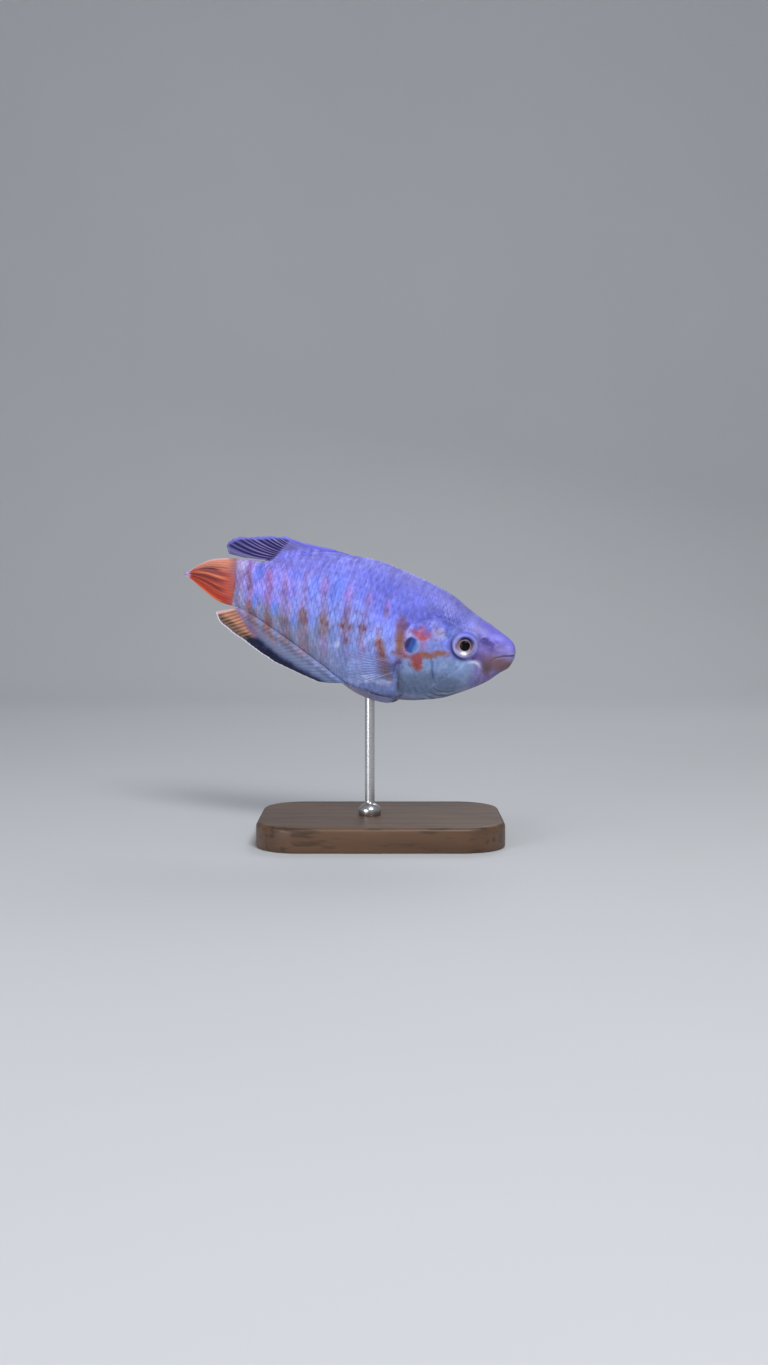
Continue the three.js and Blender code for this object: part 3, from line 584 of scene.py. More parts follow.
def paint(s, w, y, z, side, scale_part=None):
    """the skin's colour at each point, sRGB 0 to 255"""
    s, z, w = (np.asarray(v, float) for v in np.broadcast_arrays(s, z, w))
    seed = 2.0 if side < 0 else 9.0
    jit = 0.0 if side < 0 else 0.5
    x = s * SL
    shape = s.shape
    lo, hi = bottom(s) * SL, top(s) * SL
    h = (z - lo) / np.maximum(hi - lo, 1e-6)
    n1 = cloud(x * 0.45, z * 0.45, seed)
    n2 = cloud(x * 1.1, z * 1.1, seed + 5)
    col = np.ones(shape + (3,)) * PAINT["flank"]
    col = blend(col, "flank_low", smoothstep(0.62, 0.34, h + 0.08 * (n1 - 0.5)) * smoothstep(0.98, 0.8, s))
    col = blend(col, "belly", smoothstep(0.34, 0.12, h + 0.1 * (n1 - 0.5)))
    col = blend(col, "belly_rear", smoothstep(0.36, 0.1, h) * smoothstep(0.5, 0.66, s))
    col = blend(col, "rear", smoothstep(0.62, 0.78, s) * smoothstep(0.22, 0.4, h))
    col = blend(col, "back", smoothstep(0.72, 0.93, h) * 0.8)
    col = blend(col, "nape", smoothstep(0.21, 0.32, s) * smoothstep(0.62, 0.45, s) * smoothstep(0.5, 0.68, h) * smoothstep(0.97, 0.84, h) * (0.62 + 0.4 * n1))
    # blue patches of the flank, azure between the bars
    for s0, z0, rs, rz, k in ((0.612, 3.2, 2.3, 4.0, 0.85), (0.60, -1.0, 1.6, 2.6, 0.35), (0.523, 2.6, 1.5, 3.2, 0.45), (0.41, -1.6, 1.6, 2.6, 0.4), (0.455, 0.0, 1.4, 3.0, 0.3), (0.904, -2.8, 1.2, 2.6, 0.85), (0.918, 2.6, 1.3, 2.4, 0.85), (0.912, 0.2, 1.1, 1.6, 0.15), (0.824, -3.4, 1.4, 1.8, 0.85), (0.835, 1.6, 1.1, 3.2, 0.2), (0.745, -4.4, 1.3, 2.6, 0.6), (0.752, 1.0, 1.6, 3.0, 0.4), (0.77, 4.4, 2.2, 1.8, 0.5), (0.69, 2.6, 1.9, 3.2, 0.75), (0.672, -3.4, 1.4, 2.6, 0.5), (0.39, 4.0, 2.2, 2.4, 0.35)):
        d = np.hypot((x - s0 * SL + 1.2 * (n2 - 0.5)) / rs, (z - z0) / rz)
        col = blend(col, "azure", k * smoothstep(1.3, 0.35, d))
    for s0, z0, rs, rz, k in ((0.905, 0.2, 1.3, 2.2, 0.6), (0.828, 0.4, 1.5, 3.0, 0.6), (0.765, 1.4, 1.2, 2.6, 0.35)):
        d = np.hypot((x - s0 * SL + 0.8 * (n2 - 0.5)) / rs, (z - z0) / rz)
        col = blend(col, (152, 136, 240), k * smoothstep(1.3, 0.35, d))
    # pale streaks that cross the flank from back to belly
    streak = noise(x * 0.95 + z * 0.12, z * 0.12, seed + 21)
    col = blend(col, (150, 160, 232), 0.4 * smoothstep(0.55, 0.9, streak) * smoothstep(0.15, 0.3, h) * smoothstep(0.37, 0.45, s) * smoothstep(0.8, 0.6, h))
    # pale grey-pink root of the tail
    col = blend(col, "grey", 0.75 * smoothstep(0.962, 0.974, s) * smoothstep(4.4, 2.0, z))
    col = blend(col, "pale", 0.85 * smoothstep(0.95, 0.97, s) * smoothstep(1.2, 3.4, z))
    col = blend(col, "pale", 0.5 * bell(x - 0.966 * SL, 0.6) * smoothstep(2.0, -1.0, z) * smoothstep(-6, -4, z))
    col = blend(col, "pale", 0.45 * smoothstep(0.86, 0.9, s) * smoothstep(0.86, 0.97, h))
    # painted highlight: the top-lit light line along the back
    col = blend(col, "rim", 0.8 * smoothstep(0.86, 0.965, h) * smoothstep(0.08, 0.14, s) * smoothstep(0.9, 0.75, s))
    # head: blue behind the eye, teal cheek, grey-green throat
    head = smoothstep(0.36, 0.33, s)
    d = np.hypot((x - 0.208 * SL) / 2.6, (z - 3.2) / 1.7)
    col = blend(col, (104, 108, 236), 0.6 * smoothstep(1.4, 0.3, d))
    d = np.hypot((x - 0.215 * SL) / 1.3, (z - 0.4) / 1.8)
    col = blend(col, (108, 138, 232), 0.6 * smoothstep(1.4, 0.3, d))
    d = np.hypot((x - 0.26 * SL) / 2.6, (z + 2.6) / 1.6)
    col = blend(col, (112, 134, 200), 0.75 * smoothstep(1.3, 0.4, d))
    cheek = smoothstep(-3.9, -5.1, z + 2.2 * smoothstep(0.2, 0.31, s)) * smoothstep(0.085, 0.12, s) * smoothstep(0.352, 0.335, s)
    col = blend(col, "cheek", cheek)
    col = blend(col, "throat", cheek * smoothstep(-6.6, -9.6, z + 0.9 * (n1 - 0.5) + 1.2 * smoothstep(0.24, 0.3, s)))
    col = blend(col, (118, 134, 168), 0.7 * cheek * smoothstep(0.19, 0.12, s) * smoothstep(-5.4, -7.5, z))
    mott = cloud(x * 1.7, z * 2.3, seed + 31)
    col = blend(col, (86, 104, 136), 0.35 * cheek * smoothstep(0.5, 0.85, mott))
    col = blend(col, (132, 152, 176), 0.3 * cheek * smoothstep(0.55, 0.15, mott) * smoothstep(-12.5, -8, z))
    # light rim along the throat and chin
    col = blend(col, (156, 160, 196), 0.6 * smoothstep(0.085, 0.03, h) * head * smoothstep(0.03, 0.07, s))
    # snout, jaw and lips
    sn = smoothstep(0.155, 0.105, s) * smoothstep(-4.2, -2.6, z + 4 * smoothstep(0.11, 0.05, s))
    col = blend(col, "snout", sn * 0.9)
    col = blend(col, "snout_low", smoothstep(0.12, 0.1, s) * smoothstep(0.4, -1.6, z) * smoothstep(-5.2, -4.2, z))
    col = blend(col, "jaw", smoothstep(0.1, 0.088, s) * smoothstep(-1.5, -2.5, z + 0.5 * smoothstep(0.05, 0.02, s)) * 0.9)
    d = np.hypot((x - 0.075 * SL) / 2.0, (z + 3.1) / 1.5)
    col = blend(col, (102, 74, 88), 0.85 * smoothstep(1.4, 0.4, d))
    d = np.hypot((x - 0.048 * SL) / 1.9, (z + 3.0) / 1.25)
    col = blend(col, "jaw_tan", 0.9 * smoothstep(1.5, 0.3, d))
    col = blend(col, (150, 132, 176), 0.75 * smoothstep(0.015, 0.0, s) * smoothstep(-3.0, -1.2, z))
    q, t = line_distance(s, z, [(0.02, -4.0), (0.045, -4.6), (0.07, -5.0), (0.09, -5.4)])
    col = blend(col, (150, 126, 152), 0.45 * bell(q, 0.3))
    col = blend(col, (140, 138, 176), smoothstep(-4.8, -5.6, z + 18 * (0.05 - s)) * smoothstep(0.1, 0.085, s))
    q = np.hypot((x - 0.076 * SL) / 1.0, (z + 5.7) / 1.0)
    col = blend(col, (82, 62, 70), 0.9 * smoothstep(1.5, 0.3, q))
    q, t = line_distance(s, z, MAXILLA)
    col = blend(col, (74, 52, 84), 0.95 * bell(q, 0.4) * smoothstep(-0.02, 0.06, t))
    q, t = line_distance(s, z, MOUTH)
    col = blend(col, (92, 70, 98), 0.62 * bell(q, 0.19) * smoothstep(1.05, 0.5, t))
    col = blend(col, "lip", 0.6 * bell(q - 0.55, 0.34) * smoothstep(0.09, 0.05, s) * smoothstep(-2.6, -1.2, z))
    # nostril marks: dark patches round a pale lavender one
    q = np.hypot((x - 0.1 * SL) / 0.95, (z + 1.25) / 1.15)
    col = blend(col, (132, 124, 226), 0.8 * smoothstep(1.3, 0.4, q))
    dusky = smoothstep(0.14, 0.1, s) * smoothstep(1.6, -0.5, z) * smoothstep(0.01, 0.04, s)
    col = blend(col, (104, 88, 140), 0.75 * dusky * smoothstep(0.35, 0.75, cloud(x * 1.5, z * 1.5, seed + 61)))
    col = blend(col, (122, 108, 172), 0.5 * dusky)
    for s0, z0, rs, rz, k in ((0.094, 0.1, 1.1, 0.9, 0.45), (0.107, 0.5, 0.95, 0.5, 0.8), (0.089, 0.4, 0.75, 0.55, 0.85), (0.098, 0.9, 0.9, 0.3, 0.6), (0.075, -0.6, 0.45, 0.9, 0.4), (0.12, -0.8, 0.4, 1.1, 0.3), (0.116, -2.6, 0.9, 0.6, 0.5), (0.1, -2.9, 0.9, 0.45, 0.4), (0.068, 0.9, 0.6, 0.5, 0.4), (0.082, -0.9, 0.9, 0.5, 0.4)):
        wob_ = 1.3 * (n2 - 0.5)
        col = blend(col, (72, 58, 138), k * smoothstep(1.5, 0.3, wob_ + np.hypot((x - s0 * SL) / rs, (z - z0) / rz)))
    d = np.hypot((x - 0.052 * SL) / 1.9, (z + 3.5) / 1.35)
    col = blend(col, (112, 82, 82), 0.75 * smoothstep(1.45, 0.4, d + 0.5 * (n2 - 0.5)))
    d = np.hypot((x - 0.079 * SL) / 1.0, (z + 4.3) / 1.5)
    col = blend(col, (86, 66, 70), 0.8 * smoothstep(1.45, 0.4, d + 0.5 * (n1 - 0.5)))
    # snout mottles; the three pale lilac tones near the tip, (148, 142, 240), (156, 148, 234) and (150, 142, 232), are
    # painted highlights on the ridge above the mouth
    for s0, z0, rs, rz, k, tone in ((0.106, -2.6, 1.3, 0.9, 0.6, (100, 78, 128)), (0.084, -3.1, 1.4, 0.9, 0.6, (104, 82, 118)), (0.058, -1.4, 1.3, 0.7, 0.35, (114, 100, 168)), (0.066, 1.8, 1.3, 0.6, 0.45, (148, 142, 240)), (0.026, 0.1, 0.8, 0.8, 0.55, (156, 148, 234)), (0.045, -0.5, 1.0, 0.4, 0.4, (150, 142, 232)), (0.05, 0.9, 0.9, 0.35, 0.35, (110, 100, 196)), (0.028, -1.6, 0.8, 0.45, 0.4, (112, 98, 160)), (0.084, 2.9, 1.4, 0.5, 0.35, (120, 112, 214)), (0.12, 3.4, 1.5, 0.6, 0.35, (118, 106, 204))):
        q = np.hypot((x - s0 * SL + 0.5 * (n2 - 0.5)) / rs, (z - z0 + 0.3 * (n1 - 0.5)) / rz)
        col = blend(col, tone, k * smoothstep(1.45, 0.3, q))
    # painted highlight on the bone under the eye: a white arc, and a soft pale fade onto the cheek below it
    q, t = line_distance(s, z, [(0.150, -4.75), (0.133, -4.35), (0.117, -4.1), (0.105, -4.35), (0.095, -5.0), (0.09, -5.8)])
    col = blend(col, (200, 208, 230), 0.9 * bell(q, 0.34) * smoothstep(0, 0.3, t) * smoothstep(0.95, 0.5, t))
    q, t = line_distance(s, z, [(0.175, -5.3), (0.15, -5.1), (0.125, -5.0)])
    col = blend(col, (146, 168, 202), 0.35 * bell(q, 0.7))
    # painted shade in the fold of the orbit round the eye, deepest behind and below
    cq, ang_, hh = eye_polar(place(s, side * y, z), side)
    low = 0.5 + 0.5 * np.cos(ang_ - math.radians(-132))
    col = blend(col, (30, 34, 92), np.where(hh > 0, bell(cq - EYE["show"] - 0.1, 0.46) * (0.06 + 0.94 * low**1.3), 0))
    # gill cover marks
    col = blobs(col, s, z, COVER, seed, 1.0, jit, jit)
    dd = diamond(s, z) + 0.1 * (n2 - 0.5)
    col = blend(col, (158, 118, 172), 0.6 * smoothstep(1.55, 1.15, dd))
    col = blend(col, "diamond", smoothstep(1.18, 0.85, dd))
    col = blend(col, (180, 108, 142), 0.5 * smoothstep(0.9, 0.5, dd) * smoothstep(-1.3, -0.4, z))
    # ocellus: navy rim behind, blue heart, pale cyan in front
    q = np.hypot((x - 0.3235 * SL) / 1.3, (z + 3.85) / 1.6)
    col = blend(col, (150, 150, 214), 0.5 * smoothstep(1.55, 1.1, q))
    tone = smoothstep(0.343, 0.303, s + 0.002 * (z + 3.85))
    inner = PAINT["navy"] + (PAINT["blue"] - PAINT["navy"]) * smoothstep(0.12, 0.4, tone)[..., None]
    inner = inner + (PAINT["cyan"] - inner) * smoothstep(0.7, 1.0, tone)[..., None]
    a = smoothstep(1.12, 0.9, q)
    col = col + (inner - col) * a[..., None]
    # dark edge of the preopercle, and painted shadow along the gill opening
    q, t = line_distance(s, z, [(0.2465, -6.3), (0.241, -7.7), (0.2335, -9.2)])
    col = blend(col, (54, 74, 124), 0.8 * bell(q, 0.24))
    q, t = line_distance(s, z, [(0.358, -6.2), (0.35, -7.6), (0.345, -9.0), (0.341, -11.8), (0.338, -14.0)])
    shade = 0.6 + 0.6 * (cloud(x * 1.2, z * 1.2, seed + 71) - 0.5)
    col = blend(col, (72, 72, 104), 0.8 * bell(q, 0.62) * smoothstep(0, 0.15, t) * smoothstep(1.05, 0.85, t) * shade)
    for ray in CHEEK_RAYS:
        q, t = line_distance(s, z, ray)
        col = blend(col, (62, 80, 108), 0.62 * bell(q, 0.19) * smoothstep(0, 0.2, t) * smoothstep(1, 0.7, t))
        q2 = np.abs(q - 0.3)
        col = blend(col, (148, 164, 180), 0.34 * bell(q2, 0.17) * smoothstep(0, 0.2, t) * smoothstep(1, 0.7, t))
    # bars
    col = columns(col, s + 0.004 * jit, z, seed)
    col = blobs(col, s, z, BARS, seed, 0.8, jit * 1.5, jit * 1.5)
    for s0, z0, rs, rz, k in ((0.367, -0.35, 1.25, 1.0, 0.7), (0.371, 0.6, 0.8, 0.6, 0.5), (0.363, -1.6, 0.8, 0.6, 0.5), (0.352, -6.1, 0.6, 0.5, 0.5), (0.549, -3.6, 1.3, 0.75, 0.75), (0.556, -1.9, 0.6, 0.5, 0.5), (0.541, -6.2, 0.7, 0.8, 0.4), (0.491, -3.0, 0.85, 0.6, 0.7), (0.487, -5.6, 0.6, 0.8, 0.4), (0.427, 1.6, 0.5, 0.8, 0.4), (0.438, -2.4, 0.4, 0.5, 0.4), (0.425, -5.1, 0.8, 0.7, 0.6), (0.411, -6.9, 0.8, 0.8, 0.55), (0.394, -9.0, 0.8, 0.8, 0.28), (0.698, -4.4, 0.9, 0.8, 0.35), (0.62, -3.9, 1.0, 0.6, 0.45), (0.842, -6.6, 0.9, 0.9, 0.35), (0.773, -5.9, 0.8, 0.8, 0.3)):
        d = np.hypot((x - s0 * SL + 0.9 * (n2 - 0.5)) / rs, (z - z0 + 0.8 * (n1 - 0.5)) / rz)
        col = blend(col, (108, 56, 76), k * smoothstep(1.4, 0.35, d))
    # past the tail root the skin has the tail fin's colour
    past = (s - tail_root(z)) * SL
    col = blend(col, np.array([168, 106, 112.0]), smoothstep(-0.25, 0.35, past + 0.5 * (n2 - 0.5)))
    col = blend(col, np.array([158, 84, 82.0]), smoothstep(0.0, 0.5, past) * smoothstep(1.5, -1.0, z) * 0.8)
    # deep blue mottles between eye and nape
    mo = cloud(x * 1.15, z * 1.35, seed + 81)
    area = smoothstep(0.15, 0.19, s) * smoothstep(0.4, 0.34, s) * smoothstep(0.9, 0.78, h) * smoothstep(0.52, 0.62, h)
    col = blend(col, (84, 88, 196), 0.6 * area * smoothstep(0.46, 0.64, mo))
    col = blend(col, (142, 154, 240), 0.4 * area * smoothstep(0.46, 0.3, mo))
    col = col * (1 - 0.08 * smoothstep(0.5, 0.8, h) * smoothstep(0.62, 0.42, s) * smoothstep(0.12, 0.2, s))[..., None]
    col = col * (1 - 0.06 * smoothstep(0.46, 0.52, s) * smoothstep(0.7, 0.62, s) * smoothstep(0.68, 0.58, h) * smoothstep(0.12, 0.3, h))[..., None]
    col = blend(col, (142, 146, 255), 0.3 * smoothstep(0.26, 0.32, s) * smoothstep(0.52, 0.44, s) * smoothstep(0.52, 0.6, h) * smoothstep(0.92, 0.84, h) * smoothstep(0.35, 0.65, n1))
    # mottling: soft clouds, darker flecks, and short upright dashes along the flank
    c1 = cloud(x * 0.8, z * 0.8, seed + 91)
    c2 = cloud(x * 1.9, z * 1.1, seed + 93)
    c3 = noise(x * 1.55, z * 0.5, seed + 95)
    up = smoothstep(0.34, 0.55, h)
    col = blend(col, (90, 98, 214), 0.27 * smoothstep(0.5, 0.72, c2) * up * smoothstep(0.13, 0.2, s))
    col = blend(col, (124, 106, 186), 0.24 * smoothstep(0.45, 0.2, c1) * up * smoothstep(0.13, 0.2, s))
    col = blend(col, (166, 178, 250), 0.3 * smoothstep(0.42, 0.22, c2) * smoothstep(0.36, 0.42, s))
    col = blend(col, (112, 150, 216), 0.3 * smoothstep(0.5, 0.72, c1) * smoothstep(0.15, 0.3, h) * smoothstep(0.62, 0.5, h) * smoothstep(0.36, 0.42, s))
    low_ = smoothstep(0.5, 0.3, h) * smoothstep(0.62, 0.72, s)
    col = blend(col, (134, 112, 132), 0.45 * low_ * smoothstep(0.5, 0.85, c3))
    col = blend(col, (108, 132, 180), 0.4 * low_ * smoothstep(0.5, 0.2, c3))
    col = col * (1 + (0.13 * (c1 - 0.5) - 0.16 * (c2 - 0.5)) * smoothstep(0.0, 0.1, s))[..., None]
    col = col * (1 + 0.16 * (c3 - 0.5) * smoothstep(0.37, 0.45, s))[..., None]
    col = col * (1 - 0.1 * smoothstep(0.3, 0.2, s) * smoothstep(0.07, 0.13, s) * smoothstep(0.5, 0.7, h))[..., None]
    # silvery scales with painted highlights: glints low on the flank and at the fin's root
    for s0, z0, rs, rz, k in ((0.566, -7.6, 0.45, 0.8, 0.85), (0.444, -13.4, 0.7, 0.3, 0.75), (0.424, -12.8, 0.5, 0.25, 0.8), (0.405, -12.9, 0.6, 0.25, 0.8), (0.388, -12.3, 0.5, 0.3, 0.8), (0.432, -11.9, 0.5, 0.22, 0.7), (0.41, -11.5, 0.45, 0.22, 0.7), (0.455, -12.5, 0.5, 0.2, 0.6), (0.372, -12.4, 0.7, 0.3, 0.6), (0.395, -12.8, 1.5, 0.6, 0.5), (0.5, -14.3, 1.6, 0.5, 0.35), (0.43, -12.2, 1.2, 0.4, 0.4)):
        col = blend(col, (200, 208, 246), k * smoothstep(1.6, 0.2, np.hypot((x - s0 * SL) / rs, (z - z0) / rz)))
    return col


# ---------------------------------------------------------------- mesh helpers
def new_mesh(name, verts, faces, colours=None, smooth=True, uv=None, edge_uv=None):
    me = bpy.data.meshes.new(name)
    verts = np.asarray(verts, float) * MM
    faces = [f for f in faces if len(f)]
    loops = np.concatenate([np.asarray(f, np.int32).ravel() for f in faces])
    sizes = np.concatenate([np.full(len(f), np.asarray(f).shape[1], np.int32) for f in faces])
    me.vertices.add(len(verts))
    me.vertices.foreach_set("co", verts.astype(np.float32).ravel())
    me.loops.add(len(loops))
    me.loops.foreach_set("vertex_index", loops)
    me.polygons.add(len(sizes))
    me.polygons.foreach_set("loop_start", np.concatenate([[0], np.cumsum(sizes)[:-1]]).astype(np.int32))
    me.polygons.foreach_set("loop_total", sizes)
    me.polygons.foreach_set("use_smooth", np.full(len(sizes), smooth))
    me.update(calc_edges=True)
    me.validate()
    if colours is not None:
        layer = me.color_attributes.new("paint", "FLOAT_COLOR", "POINT")
        rgba = np.ones((len(verts), 4), np.float32)
        rgba[:, : colours.shape[1]] = colours
        layer.data.foreach_set("color", rgba.ravel())
        me.color_attributes.active_color = layer
    if uv is not None:
        layer = me.uv_layers.new(name="OFBake")
        n = len(me.loops)
        if edge_uv is not None:
            data = edge_uv
        else:
            idx = np.empty(n, np.int32)
            me.loops.foreach_get("vertex_index", idx)
            data = uv[idx]
        layer.data.foreach_set("uv", np.asarray(data, np.float32).ravel())
    ob = bpy.data.objects.new(name, me)
    scene.collection.objects.link(ob)
    return ob


def grid_faces(nu, nv, start=0, wrap=False, flip=False):
    """quads of a grid of nu by nv points stored row by row (wrap: last column joins the first)"""
    i, j = np.meshgrid(np.arange(nu - 1), np.arange(nv if wrap else nv - 1), indexing="ij")
    jn = (j + 1) % nv
    a, b, c, d = i * nv + j, (i + 1) * nv + j, (i + 1) * nv + jn, i * nv + jn
    q = np.stack([a, b, c, d], -1).reshape(-1, 4) + start
    return q[:, ::-1] if flip else q


def outward(ob):
    """turns the faces to point out"""
    import bmesh

    bm = bmesh.new()
    bm.from_mesh(ob.data)
    bmesh.ops.recalc_face_normals(bm, faces=bm.faces)
    bm.to_mesh(ob.data)
    bm.free()


# ---------------------------------------------------------------- materials
def nodes_of(name):
    m = bpy.data.materials.new(name)
    m.use_nodes = True
    nt = m.node_tree
    return m, nt, nt.nodes["Principled BSDF"]


def put(nt, kind, **values):
    n = nt.nodes.new(kind)
    for k, v in values.items():
        if k in n.inputs:
            n.inputs[k].default_value = v
        else:
            setattr(n, k, v)
    return n


def living(name, rough=0.4, spec=0.4, coat=0.0, coat_rough=0.2, grain=0.08, grain_scale=2600.0, bump=0.15, bump_scale=1800.0, sub=0.0, alpha=None, bump_distance=0.00005, translucent=0.0, rough_vary=0.1):
    """skin, scale or fin: the painted colour, a fine mottling, and a fine grain in the relief"""
    m, nt, p = nodes_of(name)
    colour = put(nt, "ShaderNodeVertexColor", layer_name="paint")
    coords = put(nt, "ShaderNodeTexCoord")
    fine = put(nt, "ShaderNodeTexNoise", Scale=grain_scale, Detail=3.0, Roughness=0.55)
    nt.links.new(coords.outputs["Object"], fine.inputs["Vector"])
    tone = put(nt, "ShaderNodeMapRange")
    tone.inputs["From Min"].default_value = 0.3
    tone.inputs["From Max"].default_value = 0.7
    tone.inputs["To Min"].default_value = 1 - grain
    tone.inputs["To Max"].default_value = 1 + grain
    nt.links.new(fine.outputs["Fac"], tone.inputs["Value"])
    mul = put(nt, "ShaderNodeVectorMath", operation="SCALE")
    nt.links.new(colour.outputs["Color"], mul.inputs[0])
    nt.links.new(tone.outputs["Result"], mul.inputs["Scale"])
    nt.links.new(mul.outputs["Vector"], p.inputs["Base Color"])
    ridge = put(nt, "ShaderNodeTexNoise", Scale=bump_scale, Detail=2.0, Roughness=0.5)
    nt.links.new(coords.outputs["Object"], ridge.inputs["Vector"])
    bmp = put(nt, "ShaderNodeBump", Strength=bump, Distance=bump_distance)
    nt.links.new(ridge.outputs["Fac"], bmp.inputs["Height"])
    nt.links.new(bmp.outputs["Normal"], p.inputs["Normal"])
    vary = put(nt, "ShaderNodeMapRange")
    vary.inputs["To Min"].default_value = max(rough - rough_vary, 0.02)
    vary.inputs["To Max"].default_value = rough + rough_vary
    nt.links.new(ridge.outputs["Fac"], vary.inputs["Value"])
    nt.links.new(vary.outputs["Result"], p.inputs["Roughness"])
    p.inputs["Specular IOR Level"].default_value = spec
    p.inputs["Coat Weight"].default_value = coat
    p.inputs["Coat Roughness"].default_value = coat_rough
    p.inputs["Subsurface Weight"].default_value = sub
    p.inputs["Subsurface Radius"].default_value = (1.0, 0.6, 0.5)
    p.inputs["Subsurface Scale"].default_value = 0.0006
    if alpha is not None:
        p.inputs["Alpha"].default_value = alpha
    return m


# ---------------------------------------------------------------- camera, first
F_PX, DIST, ELEV = 1494.0, 300.0, math.radians(4)
A0 = (516.5 - 384.0) / F_PX * DIST
B0 = -(651.0 - 682.5) / F_PX * DIST
fw = np.array([0, math.cos(ELEV), -math.sin(ELEV)])
upv = np.array([0, math.sin(ELEV), math.cos(ELEV)])
eye_point = SNOUT + np.array([-A0, 0, 0]) - upv * B0 - fw * DIST
cam_data = bpy.data.cameras.new("view")
cam_data.sensor_fit = "AUTO"
cam_data.sensor_width = 36.0
cam_data.lens = F_PX / 1365 * 36
cam_data.clip_start, cam_data.clip_end = 0.01, 20
cam = bpy.data.objects.new("view", cam_data)
cam.location = Vector(eye_point * MM)
cam.rotation_euler = (math.pi / 2 - ELEV, 0, 0)
scene.collection.objects.link(cam)
scene.camera = cam

# ---------------------------------------------------------------- skin
def build_skin():
    ss = np.concatenate(
        [
            0.0007 + 0.0023 * np.linspace(0, 1, 5)[:-1],
            np.linspace(0.003, 0.105, 66)[:-1],
            np.linspace(0.105, 0.37, 122)[:-1],
            np.linspace(0.37, S_END, 146),
        ]
    )
    n = 140
    w = np.concatenate([np.linspace(0, 1, n + 1), np.linspace(1, 0, n + 1)[1:-1]])
    side = np.concatenate([-np.ones(n + 1), np.ones(n - 1)])
    S, W = np.meshgrid(ss, w, indexing="ij")
    SD = np.broadcast_to(side, S.shape)
    Y, Z = yz(S, W)
    P = place(S, SD * Y, Z)
    ds = np.gradient(P, axis=0)
    dw = np.roll(P, -1, 1) - np.roll(P, 1, 1)
    N = unit(np.cross(ds, dw))
    if (N[60, n // 2] * across(ss[60])).sum() * -1 < 0:
        N = -N
    R = np.empty(S.shape)
    C = np.empty(S.shape + (3,))
    for sd in (-1, 1):
        k = side == sd
        R[:, k] = relief(S[:, k], W[:, k], Y[:, k], Z[:, k], sd, P[:, k])
        C[:, k] = paint(S[:, k], W[:, k], Y[:, k], Z[:, k], sd)
    H = R - skin_depth(S, W, Z)
    V = P + N * H[..., None]
    rings, cols = S.shape
    tip = V[0].mean(0) + (V[0].mean(0) - V[2].mean(0)) * 0.1
    end = place(S_END + 0.004, 0.0, float(mid(S_END)) * SL)
    verts = np.concatenate([V.reshape(-1, 3), tip[None], end[None]])
    colours = np.concatenate([C.reshape(-1, 3), C[0].mean(0)[None], C[-1].mean(0)[None]])
    a = rings * cols
    j = np.arange(cols)
    jn = (j + 1) % cols
    caps = np.concatenate([np.stack([np.full(cols, a), j, jn], -1), np.stack([np.full(cols, a + 1), (rings - 1) * cols + jn, (rings - 1) * cols + j], -1)])
    u = 0.02 + 0.96 * S / S_END
    v = np.where(SD < 0, 0.02 + 0.48 * W, 0.98 - 0.48 * W)
    uv = np.concatenate([np.stack([u, v], -1).reshape(-1, 2), [[0.015, 0.5]], [[0.985, 0.5]]])
    quads = grid_faces(rings, cols, wrap=True)
    # loops across the seam keep their own place on the map
    loop_uv = uv[quads.ravel()].reshape(-1, 4, 2)
    seam = (quads % cols).max(1) - (quads % cols).min(1) > cols // 2
    fix = (quads[seam] % cols) == 0
    tmp = loop_uv[seam]
    tmp[..., 1] = np.where(fix, 0.98, tmp[..., 1])
    loop_uv[seam] = tmp
    cap_uv = uv[caps.ravel()].reshape(-1, 3, 2)
    data = np.concatenate([loop_uv.reshape(-1, 2), cap_uv.reshape(-1, 2)])
    ob = new_mesh("skin", verts, [quads, caps], to_linear(colours), uv=uv, edge_uv=data)
    outward(ob)
    ob.data.materials.append(living("skin", rough=0.46, spec=0.32, coat=0.06, coat_rough=0.25, grain=0.05, bump=0.25))
    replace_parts(ob, "head", "trunk", "tail")
    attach(ob, "root")
    return ob


skin = build_skin()


# ---------------------------------------------------------------- scales
N_UP, N_LOW, LATERAL = 11, 12, 0.52


def row_pitch(s):
    """spacing of the rows over and under the middle line, mm: they end at the back and belly lines, and run off
    at the bases of the dorsal and anal fins"""
    sc_u, sc_l = min(s, 0.58), min(s, 0.49)
    up = (1 - LATERAL) * float(girth(sc_u)) / N_UP * np.interp(s, [0.58, 0.8, 0.95, 1.03], [1, 0.8, 0.7, 0.66])
    low = LATERAL * float(girth(sc_l)) / N_LOW * np.interp(s, [0.49, 0.62, 0.8, 0.95, 1.03], [1, 0.93, 0.78, 0.68, 0.64])
    return up, low


def scale_rows():
    """roots of the scales: station, arc share, length, height (mm), kind (0 body, 1 head, 2 midline)"""
    out = []
    pitch = 1.36
    for k, s in enumerate(np.arange(0.362, 1.03, pitch / 2 / SL)):
        g = float(girth(s))
        up, low = row_pitch(s)
        for r in range(-N_LOW, N_UP + 1):
            if (r + k) % 2:
                continue
            q = up if r >= 0 else low
            w = LATERAL + r * q / g
            middle = (s <= 0.585 and r == N_UP) or (s <= 0.495 and r == -N_LOW)
            if not middle and not 0.15 * q / g < w < 1 - 0.15 * q / g:
                continue
            z = float(yz(s, min(max(w, 0), 1))[1])
            if s > tail_root(z) - 0.012:
                continue
            out.append((s, min(max(w, 0.0), 1.0), 2.1, 1.16 * q, 2 if middle else 0))
    # nape, top of the head and cheek: smaller towards the snout, in rows counted from the back line
    s, k = 0.362, 0
    while s > 0.118:
        size = float(np.interp(s, [0.11, 0.2, 0.3, 0.36], [0.6, 0.82, 1.1, 1.3]))
        s -= size / 2 / SL
        k += 1
        g = float(girth(s))
        q = size * 0.98
        for r in range(0, 60):
            if (r + k) % 2:
                continue
            w = 1 - r * q / g
            if w < 0.02:
                break
            z = float(yz(s, w)[1])
            if float(scaled(s, w, z)) < 0.96:
                continue
            out.append((s, w, size * 1.55, size * 1.12, 3 if r == 0 else 1))
    return out


